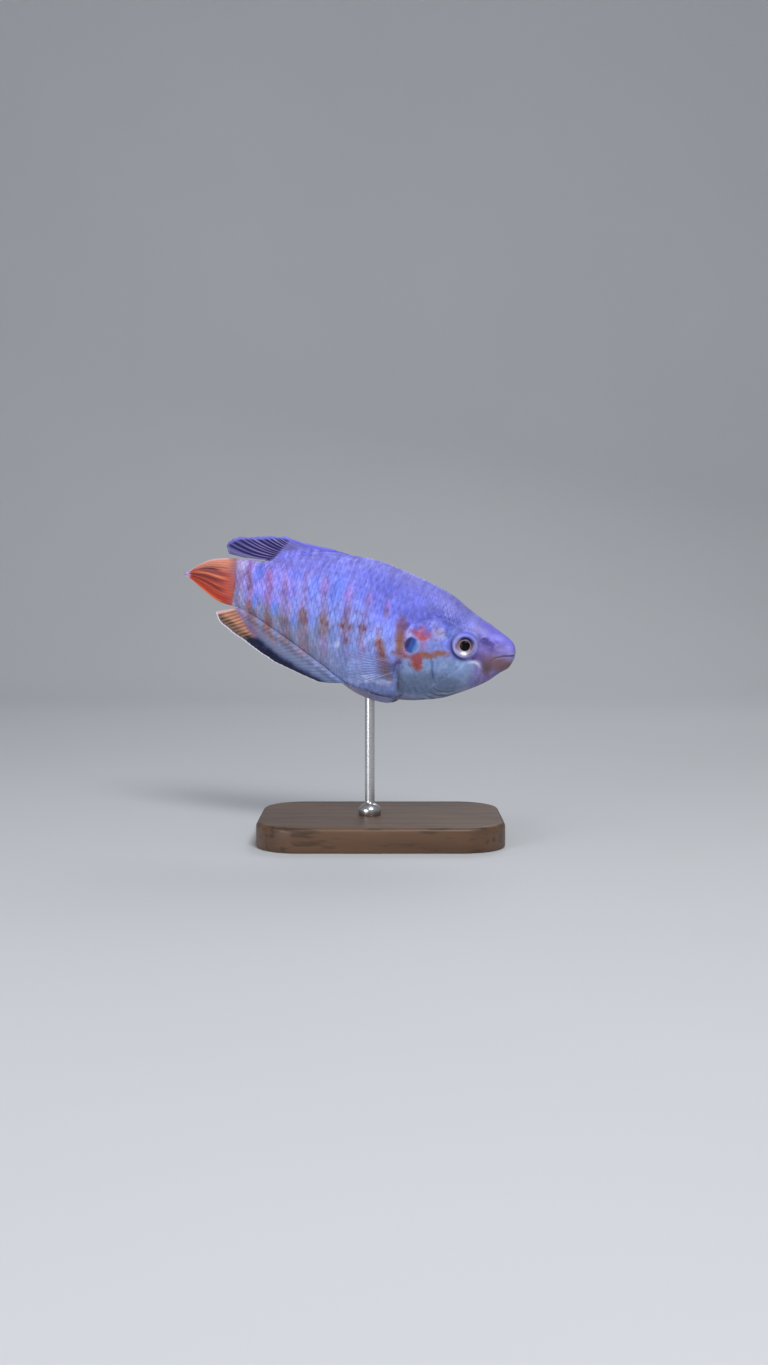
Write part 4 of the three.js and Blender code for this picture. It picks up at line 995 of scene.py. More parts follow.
def build_scales(side, rows, name, seed):
    rng = np.random.default_rng(seed)
    R = np.array([(a, b, c, d, e) for a, b, c, d, e in rows if e < 2 or side < 0])
    # leave the orbit, the edge of the gill cover and the line of the preopercle clear
    y, z = yz(R[:, 0], R[:, 1])
    cq, _, hh = eye_polar(place(R[:, 0], side * y, z), side)
    keep = ~((cq < EYE["show"] + 0.5) & (hh > 0))
    edge = (gill_edge(R[:, 1]) - R[:, 0]) * SL
    on_cover = (edge > 0) & (R[:, 1] < 0.8)
    keep &= ~(on_cover & (edge < R[:, 2] * 0.75))
    keep &= ~((np.abs(edge) < 0.55) & (R[:, 1] < 0.88) & (R[:, 0] < 0.345))
    q, _ = line_distance(R[:, 0], z, PREOPERCLE)
    keep &= ~((q < 0.3) & (R[:, 4] == 1) & (z < -3.5))
    R, z = R[keep], z[keep]
    n = len(R)
    na, nb = 7, 8
    a = np.linspace(-0.6, 1.0, na)
    b = np.linspace(-1, 1, nb)
    A, B = np.meshgrid(a, b, indexing="ij")
    s0, w0, ln, ht, kind = (R[:, k][:, None, None] for k in range(5))
    jl = 1 + 0.07 * (rng.random((n, 1, 1)) - 0.5)
    lean = 0.10 * (rng.random((n, 1, 1)) - 0.5)
    # a fan: the free edge is round, and the plate narrows towards its root
    reach = np.where(A > 0, A * (1 - 0.30 * B**2), A)
    wide = np.where(A < 0, 1 + 0.35 * A, 1 - 0.12 * A * A)
    s = s0 + (reach * ln * 0.62 * jl) / SL
    g = girth(R[:, 0])[:, None, None]
    w = w0 + (B * wide * ht + lean * reach * ht) / g
    s, w = np.broadcast_arrays(s, w)
    s = np.clip(s, 0.02, S_END - 0.002)
    cheek_flat = 1 - 0.4 * smoothstep(-1.0, -4.0, z)[:, None, None]
    raised = np.where(kind == 1, 0.5 * cheek_flat, 1.0) * np.clip(ln / 2.1, 0.5, 1)
    tilt = np.where(A < 0, -0.06 + 0.075 * (A + 0.6) / 0.6, 0.015 + 0.06 * A) * raised
    crown = 0.022 * (1 - B**2) * raised
    rim = -0.012 * smoothstep(0.75, 1.0, np.maximum(A, np.abs(B) * (A > -0.2)))
    jitter = 0.008 * (rng.random((n, 1, 1)) - 0.5)
    lift = tilt + crown + rim + jitter
    base, nrm = skin_at(s, w, side)
    top_v = base + nrm * lift[..., None]
    bot_v = base + nrm * (lift - 0.045)[..., None]
    # colour: each scale carries the marking under it, with a dark heart on the nape and a lighter free edge; painted
    # shade darkens the root, which lies under the scale in front, and the underside
    w2, _ = folded(w, side)
    yy, zz = yz(s, w2)
    c = paint(s, w2, yy, zz, side)
    tone = rng.random((n, 1, 1))
    net = smoothstep(0.66, 0.5, s) * smoothstep(0.24, 0.29, s) * smoothstep(-2.0, 2.6, zz) * smoothstep(0.99, 0.9, (zz - bottom(s) * SL) / np.maximum((top(s) - bottom(s)) * SL, 1e-6))
    faint = smoothstep(0.5, 0.62, s) * smoothstep(0.86, 0.7, s) * smoothstep(4.2, 7.5, zz) * 0.7
    net = np.maximum(net, faint)
    spot = bell(np.hypot((A - 0.34) / 0.36, (B + 0.1 * (tone - 0.5)) / 0.5), 1.0) * (0.6 + 0.55 * tone)
    c = blend(c, np.array([84, 88, 200]), 0.8 * net * spot)
    c = blend(c, np.array([164, 168, 242]), 0.34 * net * smoothstep(0.62, 1.0, A) * (0.3 + 0.7 * tone))
    c = blend(c, np.array([176, 184, 244]), 0.16 * smoothstep(0.6, 1.0, A) * smoothstep(0.4, 0.9, tone) * smoothstep(0.3, 0.5, s))
    c = c * (1 + 0.05 * (rng.random((n, 1, 1, 1)) - 0.5))
    # painted shade where the root lies under the scale in front
    c = c * (1 - 0.10 * smoothstep(0.2, -0.3, A))[..., None]
    m = na * nb
    verts = np.concatenate([top_v.reshape(n, m, 3), bot_v.reshape(n, m, 3)], 1).reshape(-1, 3)
    cc = c.reshape(n, m, 3)
    # the underside is a painted-shade copy, 0.92 as bright
    colours = np.concatenate([cc, cc * 0.92], 1).reshape(-1, 3)
    up = grid_faces(na, nb)
    dn = grid_faces(na, nb, start=m, flip=True)
    rim_ids = [i * nb for i in range(na)] + [(na - 1) * nb + j for j in range(1, nb)] + [i * nb + nb - 1 for i in range(na - 2, -1, -1)] + [j for j in range(nb - 2, 0, -1)]
    r0 = np.array(rim_ids)
    r1 = np.roll(r0, -1)
    edge_f = np.stack([r0, r1, r1 + m, r0 + m], -1)
    one = np.concatenate([up, dn, edge_f[:, ::-1]])
    if side < 0:
        one = one[:, ::-1]
    quads = (one[None] + (np.arange(n) * 2 * m)[:, None, None]).reshape(-1, 4)
    # each scale is a patch about 0.003 across at its root on the skin's own map
    ru = 0.02 + 0.96 * R[:, 0] / S_END
    rv = 0.02 + 0.48 * R[:, 1] if side < 0 else 0.98 - 0.48 * R[:, 1]
    pu = ru[:, None, None] + 0.0015 * (A[None] - 0.2) / 0.82
    pv = rv[:, None, None] + 0.0015 * B[None] * (1 if side < 0 else -1)
    uv1 = np.stack(np.broadcast_arrays(pu, pv), -1).reshape(n, m, 2)
    uv = np.concatenate([uv1, uv1], 1).reshape(-1, 2)
    ob = new_mesh(name, verts, [quads], to_linear(colours), uv=uv)
    return ob, n


scale_look = living("scale", rough=0.44, spec=0.34, coat=0.06, coat_rough=0.25, grain=0.05, grain_scale=3000.0, bump=0.12)
roots = scale_rows()
body_rows = [r for r in roots if r[4] in (0, 2)]
head_rows = [r for r in roots if r[4] in (1, 3)]
counts = {}
for side, word in ((-1, "right"), (1, "left")):
    for rows, part, seed in ((body_rows, "body", 3), (head_rows, "head", 5)):
        ob, n = build_scales(side, rows, f"scales_{part}_{word}", seed + (side > 0))
        ob.data.materials.append(scale_look)
        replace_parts(ob, "trunk", "tail") if part == "body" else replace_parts(ob, "head")
        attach(ob, "root")
        counts[ob.name] = (n, len(ob.data.polygons))
print("scales", counts)


# ---------------------------------------------------------------- fins
def fin_mesh(name, point, nrm, half_t, colour, us, nv, material, replaces):
    """a closed plate: point(u, v) mm, nrm(u, v), half_t(u, v) mm, colour(u, v) sRGB"""
    us = np.linspace(0, 1, us) if isinstance(us, int) else us
    nu = len(us)
    U, V = np.meshgrid(us, np.linspace(0, 1, nv), indexing="ij")
    P, N, T = point(U, V), nrm(U, V), half_t(U, V)
    C = colour(U, V)
    a, b = P + N * T[..., None], P - N * T[..., None]
    m = nu * nv
    verts = np.concatenate([a.reshape(-1, 3), b.reshape(-1, 3)])
    colours = np.concatenate([C.reshape(-1, C.shape[-1])] * 2)
    up, dn = grid_faces(nu, nv), grid_faces(nu, nv, start=m, flip=True)
    rim = [i * nv for i in range(nu)] + [(nu - 1) * nv + j for j in range(1, nv)] + [i * nv + nv - 1 for i in range(nu - 2, -1, -1)] + [j for j in range(nv - 2, 0, -1)]
    r0 = np.array(rim)
    r1 = np.roll(r0, -1)
    edge = np.stack([r0, r0 + m, r1 + m, r1], -1)
    u1 = np.stack([0.01 + 0.97 * U, 0.01 + 0.47 * V], -1).reshape(-1, 2)
    u2 = np.stack([0.01 + 0.97 * U, 0.99 - 0.47 * V], -1).reshape(-1, 2)
    lin = to_linear(colours[:, :3])
    if colours.shape[1] == 4:
        lin = np.concatenate([lin, colours[:, 3:]], 1)
    ob = new_mesh(name, verts, [up, dn, edge], lin, uv=np.concatenate([u1, u2]))
    outward(ob)
    ob.data.materials.append(material)
    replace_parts(ob, *replaces)
    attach(ob, "root")
    return ob


def path(keys):
    k = np.array(keys, float)
    return [smooth_through(k[:, 0], k[:, j]) for j in range(1, k.shape[1])]


def rays(u, count, sharp=1.6):
    """ridge of each ray, 0 between them and 1 on them"""
    f = np.abs(((u * count) % 1) - 0.5) * 2
    return np.clip(1 - f, 0, 1) ** sharp


# rays: a ray's number from 0 to 1, then where it roots, as s, and where it ends, as s and height
DORSAL = dict(
    crowd=lambda u: 0.78 * u + 0.22 * u**3,
    bow=lambda u: -0.01 - 0.05 * u,
    rays=path([(0, 0.61, 0.628, 0.1815), (0.12, 0.642, 0.69, 0.1793), (0.25, 0.676, 0.77, 0.1778), (0.5, 0.737, 0.875, 0.1808), (0.7, 0.783, 0.96, 0.1635), (0.84, 0.829, 1.042, 0.1425), (0.91, 0.857, 1.077, 0.122), (0.96, 0.8785, 1.08, 0.1), (1, 0.896, 1.06, 0.076)]),
)
ANAL = dict(
    crowd=lambda u: 0.62 * u + 0.38 * u**3,
    bow=lambda u: 0.05 * u - 0.05,
    rays=path([(0, 0.505, 0.56, -0.268), (0.25, 0.556, 0.685, -0.252), (0.5, 0.659, 0.81, -0.232), (0.72, 0.781, 0.9, -0.204), (0.88, 0.886, 0.998, -0.1695), (0.95, 0.935, 1.04, -0.152), (1, 0.972, 1.064, -0.1235)]),
)


def spread(fin, count, per):
    """values of u with the same number of points to every ray; the rays stand closer towards the rear"""
    fine = np.linspace(0, 1, 4001)
    return np.interp(np.linspace(0, 1, count * per + 1), fin["crowd"](fine), fine)


def edge_height(fin, s):
    """height of the fin's outer edge over station s, mm"""
    u = np.linspace(0, 0.93, 300)
    return np.interp(s, fin["rays"][1](u), fin["rays"][2](u) * SL)


def median_fin(fin, root, side, count, wave, trim, ripple):
    """point and normal functions of a dorsal or anal fin whose rays lean back over the body"""

    def sz(u, v):
        sb = fin["rays"][0](u)
        zb = root(sb) * SL - side * 0.45  # the rays start inside the flesh
        st = fin["rays"][1](u)
        zt = fin["rays"][2](u) * SL + side * ripple * (np.sin(u * 31) + 0.6 * np.sin(u * 53 + 1)) * smoothstep(0.2, 0.4, u) * smoothstep(1, 0.9, u)
        ray = rays(fin["crowd"](u), count)
        v2 = v * (1 - trim * (1 - ray) * smoothstep(0.5, 1, v))
        ln = np.hypot((st - sb) * SL, zt - zb)
        s = sb + (st - sb) * v2
        z = zb + (zt - zb) * v2 + fin["bow"](u) * np.sin(np.pi * v2) * ln
        body = root(np.minimum(s, 1)) * SL
        hug = body + side * (0.12 + (0.5 - 0.38 * u) * v2)
        z = np.where(v2 > 0.12, np.maximum(z, hug) if side > 0 else np.minimum(z, hug), z)
        z = body - side * 0.2 + (z - body + side * 0.2) * smoothstep(-0.03, 0.13, u)  # the front grows out of the body
        return s, z

    def point(u, v):
        s, z = sz(u, v)
        sway = wave * np.sin(u * 9 + v * 2.2) * v * v
        return place(s, sway, z, True)

    def nrm(u, v):
        return across(sz(u, v)[0], True)

    return point, nrm, sz


fin_look = living("fin", rough=0.5, spec=0.16, coat=0.02, grain=0.04, bump=0.1, sub=0.0)
tail_look = living("tail_fin", rough=0.42, spec=0.4, coat=0.1, grain=0.05, bump=0.1, sub=0.0)

# dorsal fin
D_COUNT = 21
d_point, d_nrm, d_sz = median_fin(DORSAL, top, 1, D_COUNT, 0.22, 0.012, 0.14)


def d_thick(u, v):
    ray = rays(DORSAL["crowd"](u), D_COUNT, 1.3)
    root = 0.42 * (1 - smoothstep(0, 0.22, v)) * smoothstep(1.0, 0.9, u)
    return 0.08 + (root + ray * (0.17 - 0.1 * v)) * smoothstep(-0.02, 0.1, u)


def d_colour(u, v):
    """the front is coloured like the back; behind a slanting line dark and pale streaks follow the rays"""
    q = DORSAL["crowd"](u)
    ray = rays(q, D_COUNT, 1.0)
    s, z = d_sz(u, v)
    n = cloud(q * 16, v * 3, 4)
    n2 = cloud(q * 34, v * 2.0, 14)
    under = edge_height(DORSAL, s) - z
    line = 0.889 - 0.0094 * (z - 5.8) + 0.012 * (cloud(q * 30, v * 0.5, 24) - 0.5)
    rear = smoothstep(line - 0.004, line + 0.014, s)
    c = np.ones(u.shape + (3,)) * np.array([134, 133, 214.0])
    c = blend(c, (112, 110, 186), 0.5 * smoothstep(0.2, 0.6, n) * smoothstep(0.0, 0.5, v))
    c = blend(c, (106, 100, 158), 0.7 * smoothstep(1.5, 0.3, np.hypot((s - 0.835) * SL / 1.7, (z - 9.4) / 1.2)))
    c = blend(c, (98, 96, 170), (1 - rear) * 0.3 * smoothstep(0.5, 0.1, ray))
    near = smoothstep(1.6, 0.2, z - top(np.minimum(s, 1)) * SL)[..., None] * (1 - rear)[..., None]
    c = c + (paint(s, 1.0, 0.0 * z, np.minimum(z, top(np.minimum(s, 1)) * SL - 0.2), -1) - c) * near
    c = blend(c, (56, 52, 114), rear * 0.96)
    c = blend(c, (30, 26, 66), rear * 0.95 * smoothstep(0.56, 0.24, ray + 0.3 * (n - 0.5)) * smoothstep(1.13, 1.06, s))
    pale = smoothstep(0.6, 0.9, ray + 0.6 * (n2 - 0.5)) * smoothstep(1.12, 0.97, s)
    c = blend(c, (134, 124, 180), rear * 0.85 * pale)
    c = blend(c, (190, 178, 204), rear * 0.4 * pale * smoothstep(0.5, 0.8, n) * smoothstep(0.96, 0.92, s))
    c = blend(c, (88, 84, 146), rear * 0.5 * smoothstep(0.45, 0.75, ray) * smoothstep(0.98, 1.03, s))
    c = blend(c, (112, 110, 214), 0.92 * smoothstep(0.95, 0.45, under + 0.5 * (n - 0.5)) * smoothstep(1.12, 1.05, s))
    c = blend(c, (148, 147, 234), 0.7 * smoothstep(0.42, 0.1, under + 0.15 * (n2 - 0.5)) * smoothstep(0.05, 0.2, u))
    c = blend(c, (120, 116, 190), 0.6 * smoothstep(0.93, 0.985, v) * smoothstep(0.5, 0.7, u))
    c = blend(c, (150, 140, 186), 0.7 * bell((u - 0.965) / 0.012, 1) * smoothstep(0.1, 0.3, v))
    c = blend(c, (28, 24, 58), 0.9 * smoothstep(0.978, 0.995, u) * smoothstep(1.0, 0.85, v))
    return c


dorsal = fin_mesh("dorsal_fin_vis", d_point, d_nrm, d_thick, d_colour, spread(DORSAL, D_COUNT, 12), 44, fin_look, ["dorsal_fin"])

# anal fin
A_COUNT = 28
a_point, a_nrm, a_sz = median_fin(ANAL, bottom, -1, A_COUNT, 0.2, 0.01, 0.05)
A_BAND = smooth_through([0.5, 0.58, 0.656, 0.71, 0.752, 0.833, 0.88, 0.92, 1.1], [0.1, 0.25, 0.65, 0.95, 1.3, 1.95, 2.1, 1.0, 0.1])  # how broad the dark band is, mm


def a_thick(u, v):
    ray = rays(ANAL["crowd"](u), A_COUNT, 1.3)
    root = 0.9 * (1 - smoothstep(0.02, 0.36, v)) * smoothstep(1.0, 0.9, u)
    return 0.085 + (root + ray * (0.13 - 0.08 * v)) * smoothstep(-0.02, 0.08, u)


def a_colour(u, v):
    """the flank's blue-grey and its bars run on over the fin to a dark band and a white edge; the rear end is golden"""
    q = ANAL["crowd"](u)
    ray = rays(q, A_COUNT, 1.0)
    n = cloud(q * 20, v * 4, 8)
    n2 = cloud(q * 44, v * 3, 18)
    s, z = a_sz(u, v)
    m = cloud(s * SL * 0.9, z * 0.9, 28)
    over = z - edge_height(ANAL, s)
    c = np.ones(u.shape + (3,)) * np.array([102, 120, 168.0])
    c = blend(c, (118, 126, 170), smoothstep(0.66, 0.8, s))
    c = blend(c, (126, 116, 158), 0.6 * smoothstep(0.84, 0.9, s))
    for s0, z0, k, wide, tone in ((0.925, -6.0, 0.7, 1.4, (146, 106, 118)), (0.842, -8.5, 0.75, 1.6, (142, 110, 122)), (0.774, -8.1, 0.7, 1.7, (126, 110, 130)), (0.700, -9.0, 0.6, 1.8, (122, 114, 142)), (0.625, -10.0, 0.5, 1.5, (112, 108, 142)), (0.535, -11.0, 0.3, 1.2, (106, 106, 146))):
        d = (s - s0 - 0.012 * (z - z0)) * SL / wide + 0.8 * (m - 0.5)
        c = blend(c, tone, k * bell(d, 1.0))
    c = blend(c, (92, 104, 146), 0.22 * smoothstep(0.45, 0.1, ray) * (0.3 + 0.8 * n2))
    c = blend(c, (96, 120, 168), 0.4 * smoothstep(0.4, 0.8, m) * smoothstep(0.78, 0.7, s))
    below = bottom(np.minimum(s, 1)) * SL - z
    flank = paint(np.minimum(s, 0.965), 0.0, 0.0 * z, z + 0.8, -1)
    c = c + (flank - c) * (smoothstep(3.4, 0.8, below) * 0.9)[..., None]
    c = blend(c, (86, 72, 106), 0.75 * bell((s - 0.9 - 0.018 * (z + 10)) * SL / 1.5, 1.0) * smoothstep(1.2, 2.6, below))
    c = blend(c, (132, 108, 122), 0.4 * smoothstep(0.68, 0.76, s) * smoothstep(0.45, 0.75, m))
    c = blend(c, (98, 118, 150), 0.5 * smoothstep(2.8, 1.2, over - A_BAND(s)) * smoothstep(0.9, 0.85, s))
    # golden rear end with brown and olive streaks
    line = 0.965 + 0.0198 * (z + 7.3) + 0.014 * (cloud(q * 30, v * 0.5, 38) - 0.5)
    back = smoothstep(line - 0.012, line + 0.012, s)
    c = blend(c, (132, 100, 146), 0.6 * bell((s - line + 0.012) * SL, 0.8))
    c = blend(c, (166, 112, 96), 0.95 * back)
    c = blend(c, (206, 148, 112), back * 0.8 * smoothstep(0.45, 0.85, ray + 0.9 * (n2 - 0.5)))
    c = blend(c, (128, 84, 72), back * 0.5 * smoothstep(0.5, 0.2, ray + 1.1 * (n - 0.5)))
    lower = smoothstep(2.4, 1.2, over + 0.7 * (n - 0.5))
    c = blend(c, (104, 82, 66), back * 0.7 * lower)
    c = blend(c, (56, 46, 50), back * 0.75 * lower * smoothstep(0.5, 0.2, ray + 0.7 * (n - 0.5)))
    c = blend(c, (96, 92, 108), back * 0.6 * smoothstep(0.9, 0.3, over))
    # painted light: the root band is lightened to cancel the shade in the crease at the fin's base
    c = blend(c, c * 1.12, smoothstep(0.9, 0.2, below) * smoothstep(-0.4, 0.1, below))
    wide = A_BAND(s)
    band = smoothstep(wide + 0.7, wide - 0.55, over + 0.6 * (m - 0.5)) * smoothstep(0.935, 0.9, s - 0.006 * (z + 12))
    c = blend(c, (84, 96, 136), 0.7 * smoothstep(wide + 1.5, wide + 0.2, over + 0.6 * (m - 0.5)) * smoothstep(0.9, 0.86, s))
    c = blend(c, (14, 17, 46), 0.96 * band)
    c = blend(c, (58, 68, 118), 0.4 * band * smoothstep(0.55, 0.8, m))
    c = blend(c, (20, 20, 42), 0.9 * smoothstep(0.5, 0.25, over) * smoothstep(0.5, 0.56, s) * smoothstep(1.0, 0.93, s))
    c = blend(c, (240, 232, 250), 0.95 * smoothstep(0.952, 0.97, v) * smoothstep(0.06, 0.16, u))
    c = blend(c, (222, 190, 196), 0.75 * smoothstep(0.978, 0.994, u) * smoothstep(0.15, 0.4, v))
    return c


anal = fin_mesh("anal_fin_vis", a_point, a_nrm, a_thick, a_colour, spread(ANAL, A_COUNT, 12), 48, fin_look, ["anal_fin"])

# tail fin, folded
TAIL_UP = smooth_through([0, 0.3, 0.56, 0.8, 1], [0.0755, 0.0625, 0.043, 0.0085, -0.026])
TAIL_LOW = smooth_through([0, 0.21, 0.59, 0.85, 1], [-0.0895, -0.088, -0.057, -0.036, -0.031])
T_COUNT = 17


def t_sz(u, v):
    ray = rays(u, T_COUNT)
    e = v * (1 - 0.03 * (1 - ray) * smoothstep(0.6, 1, v))
    t = -0.03 + 0.99 * e
    k = np.clip(t / 0.96, 0, 1)
    z = (TAIL_UP(k) * (1 - u) + TAIL_LOW(k) * u) * SL
    return 1 + t * TAIL_FIN / SL, z


def t_point(u, v):
    s, z = t_sz(u, v)
    fold = (0.26 * np.sin(u * np.pi * 3.0 + 0.6) + 0.1 * np.sin(u * np.pi * 9 + 1)) * smoothstep(0.08, 0.6, v)
    return place(s, fold, z)


def t_nrm(u, v):
    return across(t_sz(u, v)[0])


def t_thick(u, v):
    ray = rays(u, T_COUNT, 1.2)
    edge = smoothstep(0, 0.06, u) * smoothstep(1, 0.94, u)
    root = 0.34 * (1 - smoothstep(0.08, 0.34, v))
    return 0.07 + (root + ray * (0.13 - 0.07 * v)) * (0.2 + 0.8 * edge)


def t_colour(u, v):
    ray = rays(u, T_COUNT, 1.0)
    s, z = t_sz(u, v)
    n = cloud(u * 13, v * 2.6, 15)
    n2 = cloud(u * 30, v * 2.2, 25)
    n3 = cloud(u * 7, v * 3.4, 35)
    w = u + 0.03 * (n - 0.5)
    c = np.ones(u.shape + (3,)) * np.array([190, 86, 72.0])
    # the upper part paler, partly its own peach colour and partly painted light where the fold faces up
    c = blend(c, (226, 144, 118), smoothstep(0.36, 0.2, w))
    c = blend(c, (178, 106, 96), 0.6 * bell((w - 0.22) / 0.05, 1) * smoothstep(0.1, 0.3, v))
    # painted shade in the folds: two dark folds above, a light ray, and the broad dark red fold below it; the lower
    # part's dark red is partly its own colour and partly painted shade
    c = blend(c, (70, 34, 46), 0.97 * bell((w - 0.295) / 0.035, 1) * smoothstep(0.28, 0.5, v) * smoothstep(1.0, 0.9, v))
    c = blend(c, (112, 62, 76), 0.7 * bell((w - 0.37) / 0.03, 1) * smoothstep(0.1, 0.35, v) * smoothstep(0.8, 0.5, v))
    c = blend(c, (238, 152, 104), 0.95 * bell((u - 0.45 - 0.012 * np.sin(v * 5)) / 0.024, 1) * smoothstep(0.1, 0.35, v))
    c = blend(c, (112, 38, 46), 0.9 * bell((w - 0.56 - 0.05 * (n3 - 0.5)) / 0.06, 1) * smoothstep(0.14, 0.4, v))
    c = blend(c, (222, 104, 56), 0.85 * bell((w - 0.665) / 0.022, 1) * smoothstep(0.2, 0.4, v))
    c = blend(c, (118, 34, 28), 0.8 * bell((w - 0.73) / 0.045, 1) * smoothstep(0.1, 0.35, v))
    c = blend(c, (168, 50, 34), 0.85 * smoothstep(0.78, 0.88, w))
    # fine rays, uneven
    c = blend(c, (84, 32, 38), 0.6 * smoothstep(0.4, 0.08, ray) * smoothstep(0.35, 0.8, n2) * smoothstep(0.12, 0.3, v))
    c = blend(c, (224, 122, 74), 0.55 * smoothstep(0.66, 0.98, ray) * smoothstep(0.3, 0.8, n) * smoothstep(0.1, 0.3, v) * smoothstep(0.4, 0.5, u))
    c = blend(c, (236, 172, 138), 0.5 * smoothstep(0.6, 0.95, ray) * smoothstep(0.3, 0.8, n) * smoothstep(0.12, 0.4, v) * smoothstep(0.4, 0.3, u))
    c = blend(c, (222, 132, 80), 0.7 * smoothstep(0.93, 0.985, u) * smoothstep(0.1, 0.3, v))
    c = blend(c, (230, 190, 200), 0.85 * smoothstep(0.075, 0.0, u))
    # the root takes on the stalk's grey and mauve
    past = (s - tail_root(z)) * SL
    c = blend(c, (156, 104, 120), 0.88 * smoothstep(3.0, 0.2, past + 2.6 * (n2 - 0.5)) * smoothstep(0.66, 0.4, u))
    c = blend(c, (156, 84, 84), 0.7 * smoothstep(2.2, 0.2, past + 1.8 * (n2 - 0.5)) * smoothstep(0.4, 0.62, u))
    c = blend(c, (168, 152, 198), smoothstep(0.25, -0.35, past))
    c = blend(c, (222, 208, 252), 0.92 * smoothstep(0.84, 0.93, v))
    return c


caudal = fin_mesh("caudal_fin_vis", t_point, t_nrm, t_thick, t_colour, 241, 60, tail_look, ["caudal_fin"])

# pectoral fins: clear membrane, pale rays
PEC = dict(s=0.353, high=-0.121, low=-0.168, reach=9.4, up=5.0, down=-35.0, stand=24.0)
P_COUNT = 11


def pectoral(side, word):
    out = math.radians(PEC["stand"])
    root_y = float(side_at(PEC["s"], PEC["high"] * SL)) + 0.1

    def spot(u, v):
        a = np.radians(PEC["up"] + (PEC["down"] - PEC["up"]) * u)
        reach = PEC["reach"] * (0.8 + 0.2 * np.sin(np.pi * (0.12 + 0.76 * u))) * v
        ln = math.cos(out) * reach
        z = (PEC["high"] + (PEC["low"] - PEC["high"]) * (0.12 + 0.76 * u)) * SL + np.sin(a) * ln
        s = PEC["s"] + 0.002 + (np.cos(a) * ln) / SL
        flank = side_at(s, z) + 0.05
        y = np.maximum(flank, root_y + math.sin(out) * reach + 0.55 * np.sin(v * np.pi) * 0.6)
        return s, y, z

    def strip(u0, width, t, v0=-0.05, v1=1.0, nv=22, fork=0.0):
        """the centre line of one ray, forking towards its end"""
        rows = []
        vs = np.linspace(v0, v1, nv)
        for v in vs:
            u = u0 + fork * max(v - 0.45, 0)
            c = place(*[np.asarray(q) for q in (lambda s, y, z: (s, side * y, z))(*spot(np.array(u), np.array(max(v, 0.0))))])
            rows.append(c)
        return np.array(rows), vs

    def behind(u, v):
        s, y, z = spot(u, v)
        return paint(s, 0.5, y, z, side)

    verts, faces, cols = [], [], []
    start = 0
    for k in range(P_COUNT):
        u0 = (k + 0.5) / P_COUNT
        for fork in ((-0.07, 0.07) if 1 < k < P_COUNT - 1 else (0.0,)):
            pts, vs = strip(u0, 0.1, 0.1, fork=fork)
            d = unit(np.gradient(pts, axis=0))
            nn = np.broadcast_to(across(np.full(len(vs), PEC["s"])), pts.shape) * side
            b = unit(np.cross(d, nn))
            r = (0.09 * (1 - 0.62 * np.clip(vs, 0, 1)))[:, None]
            ring = [pts + b * r * math.cos(t) * 1.0 + nn * r * math.sin(t) * 0.95 for t in np.linspace(0, 2 * math.pi, 7)[:-1]]
            ring = np.stack(ring, 1)
            m = len(vs)
            verts.append(ring.reshape(-1, 3))
            faces.append(grid_faces(m, 6, start=start, wrap=True))
            c = behind(np.clip(u0 + fork * np.maximum(vs - 0.45, 0), 0, 1), np.clip(vs, 0, 1))
            c = blend(c, (182, 192, 236), (0.12 + 0.3 * noise(vs * 7, np.full(len(vs), k + 5 * fork), 3)) * smoothstep(0.05, 0.3, vs))
            cols.append(np.repeat(c, 6, 0))
            # close the ends
            verts.append(np.stack([pts[0], pts[-1]]))
            cols.append(np.stack([c[0], c[-1]]))
            e = start + m * 6
            j = np.arange(6)
            jn = (j + 1) % 6
            faces.append(np.stack([np.full(6, e), j + start, jn + start], -1))
            faces.append(np.stack([np.full(6, e + 1), (m - 1) * 6 + jn + start, (m - 1) * 6 + j + start], -1))
            start += m * 6 + 2
    ob = new_mesh(f"pectoral_rays_{word}", np.concatenate(verts), [np.concatenate([f for f in faces if f.shape[1] == 4]), np.concatenate([f for f in faces if f.shape[1] == 3])], to_linear(np.concatenate(cols)))
    outward(ob)
    ob.data.materials.append(ray_look)
    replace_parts(ob, f"pectoral_fin_{word}")
    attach(ob, "root")

    def point(u, v):
        s, y, z = spot(u, v * (1 - 0.05 * (1 - rays(u, P_COUNT)) * smoothstep(0.6, 1, v)))
        return place(s, side * y, z)

    def nrm(u, v):
        return across(spot(u, v)[0])

    def thick(u, v):
        return 0.03 + 0.05 * (1 - smoothstep(0, 0.3, v)) + 0 * u

    def colour(u, v):
        return behind(u, v)

    fin_mesh(f"pectoral_membrane_{word}", point, nrm, thick, colour, 67, 20, membrane_look, [f"pectoral_fin_{word}"])


ray_look = living("fin_ray", rough=0.34, spec=0.45, coat=0.1, grain=0.02, bump=0.05)
membrane_look = living("fin_membrane", rough=0.4, spec=0.2, coat=0.0, grain=0.03, bump=0.08, alpha=0.1)
pectoral(-1, "right")
pectoral(1, "left")

# pelvic fins: narrow, folded, each a few pale rays
PEL = dict(s=0.322, y=1.9, reach=12.4, root=0.95, tip=0.35)
V_COUNT = 5


def under_at(s, y):
    n = low_power(s)
    m = mid(s) * SL
    k = np.clip(np.abs(y) / (half(s) * SL), 0, 1)
    return m - (m - bottom(s) * SL) * (1 - k**n) ** (1 / n)


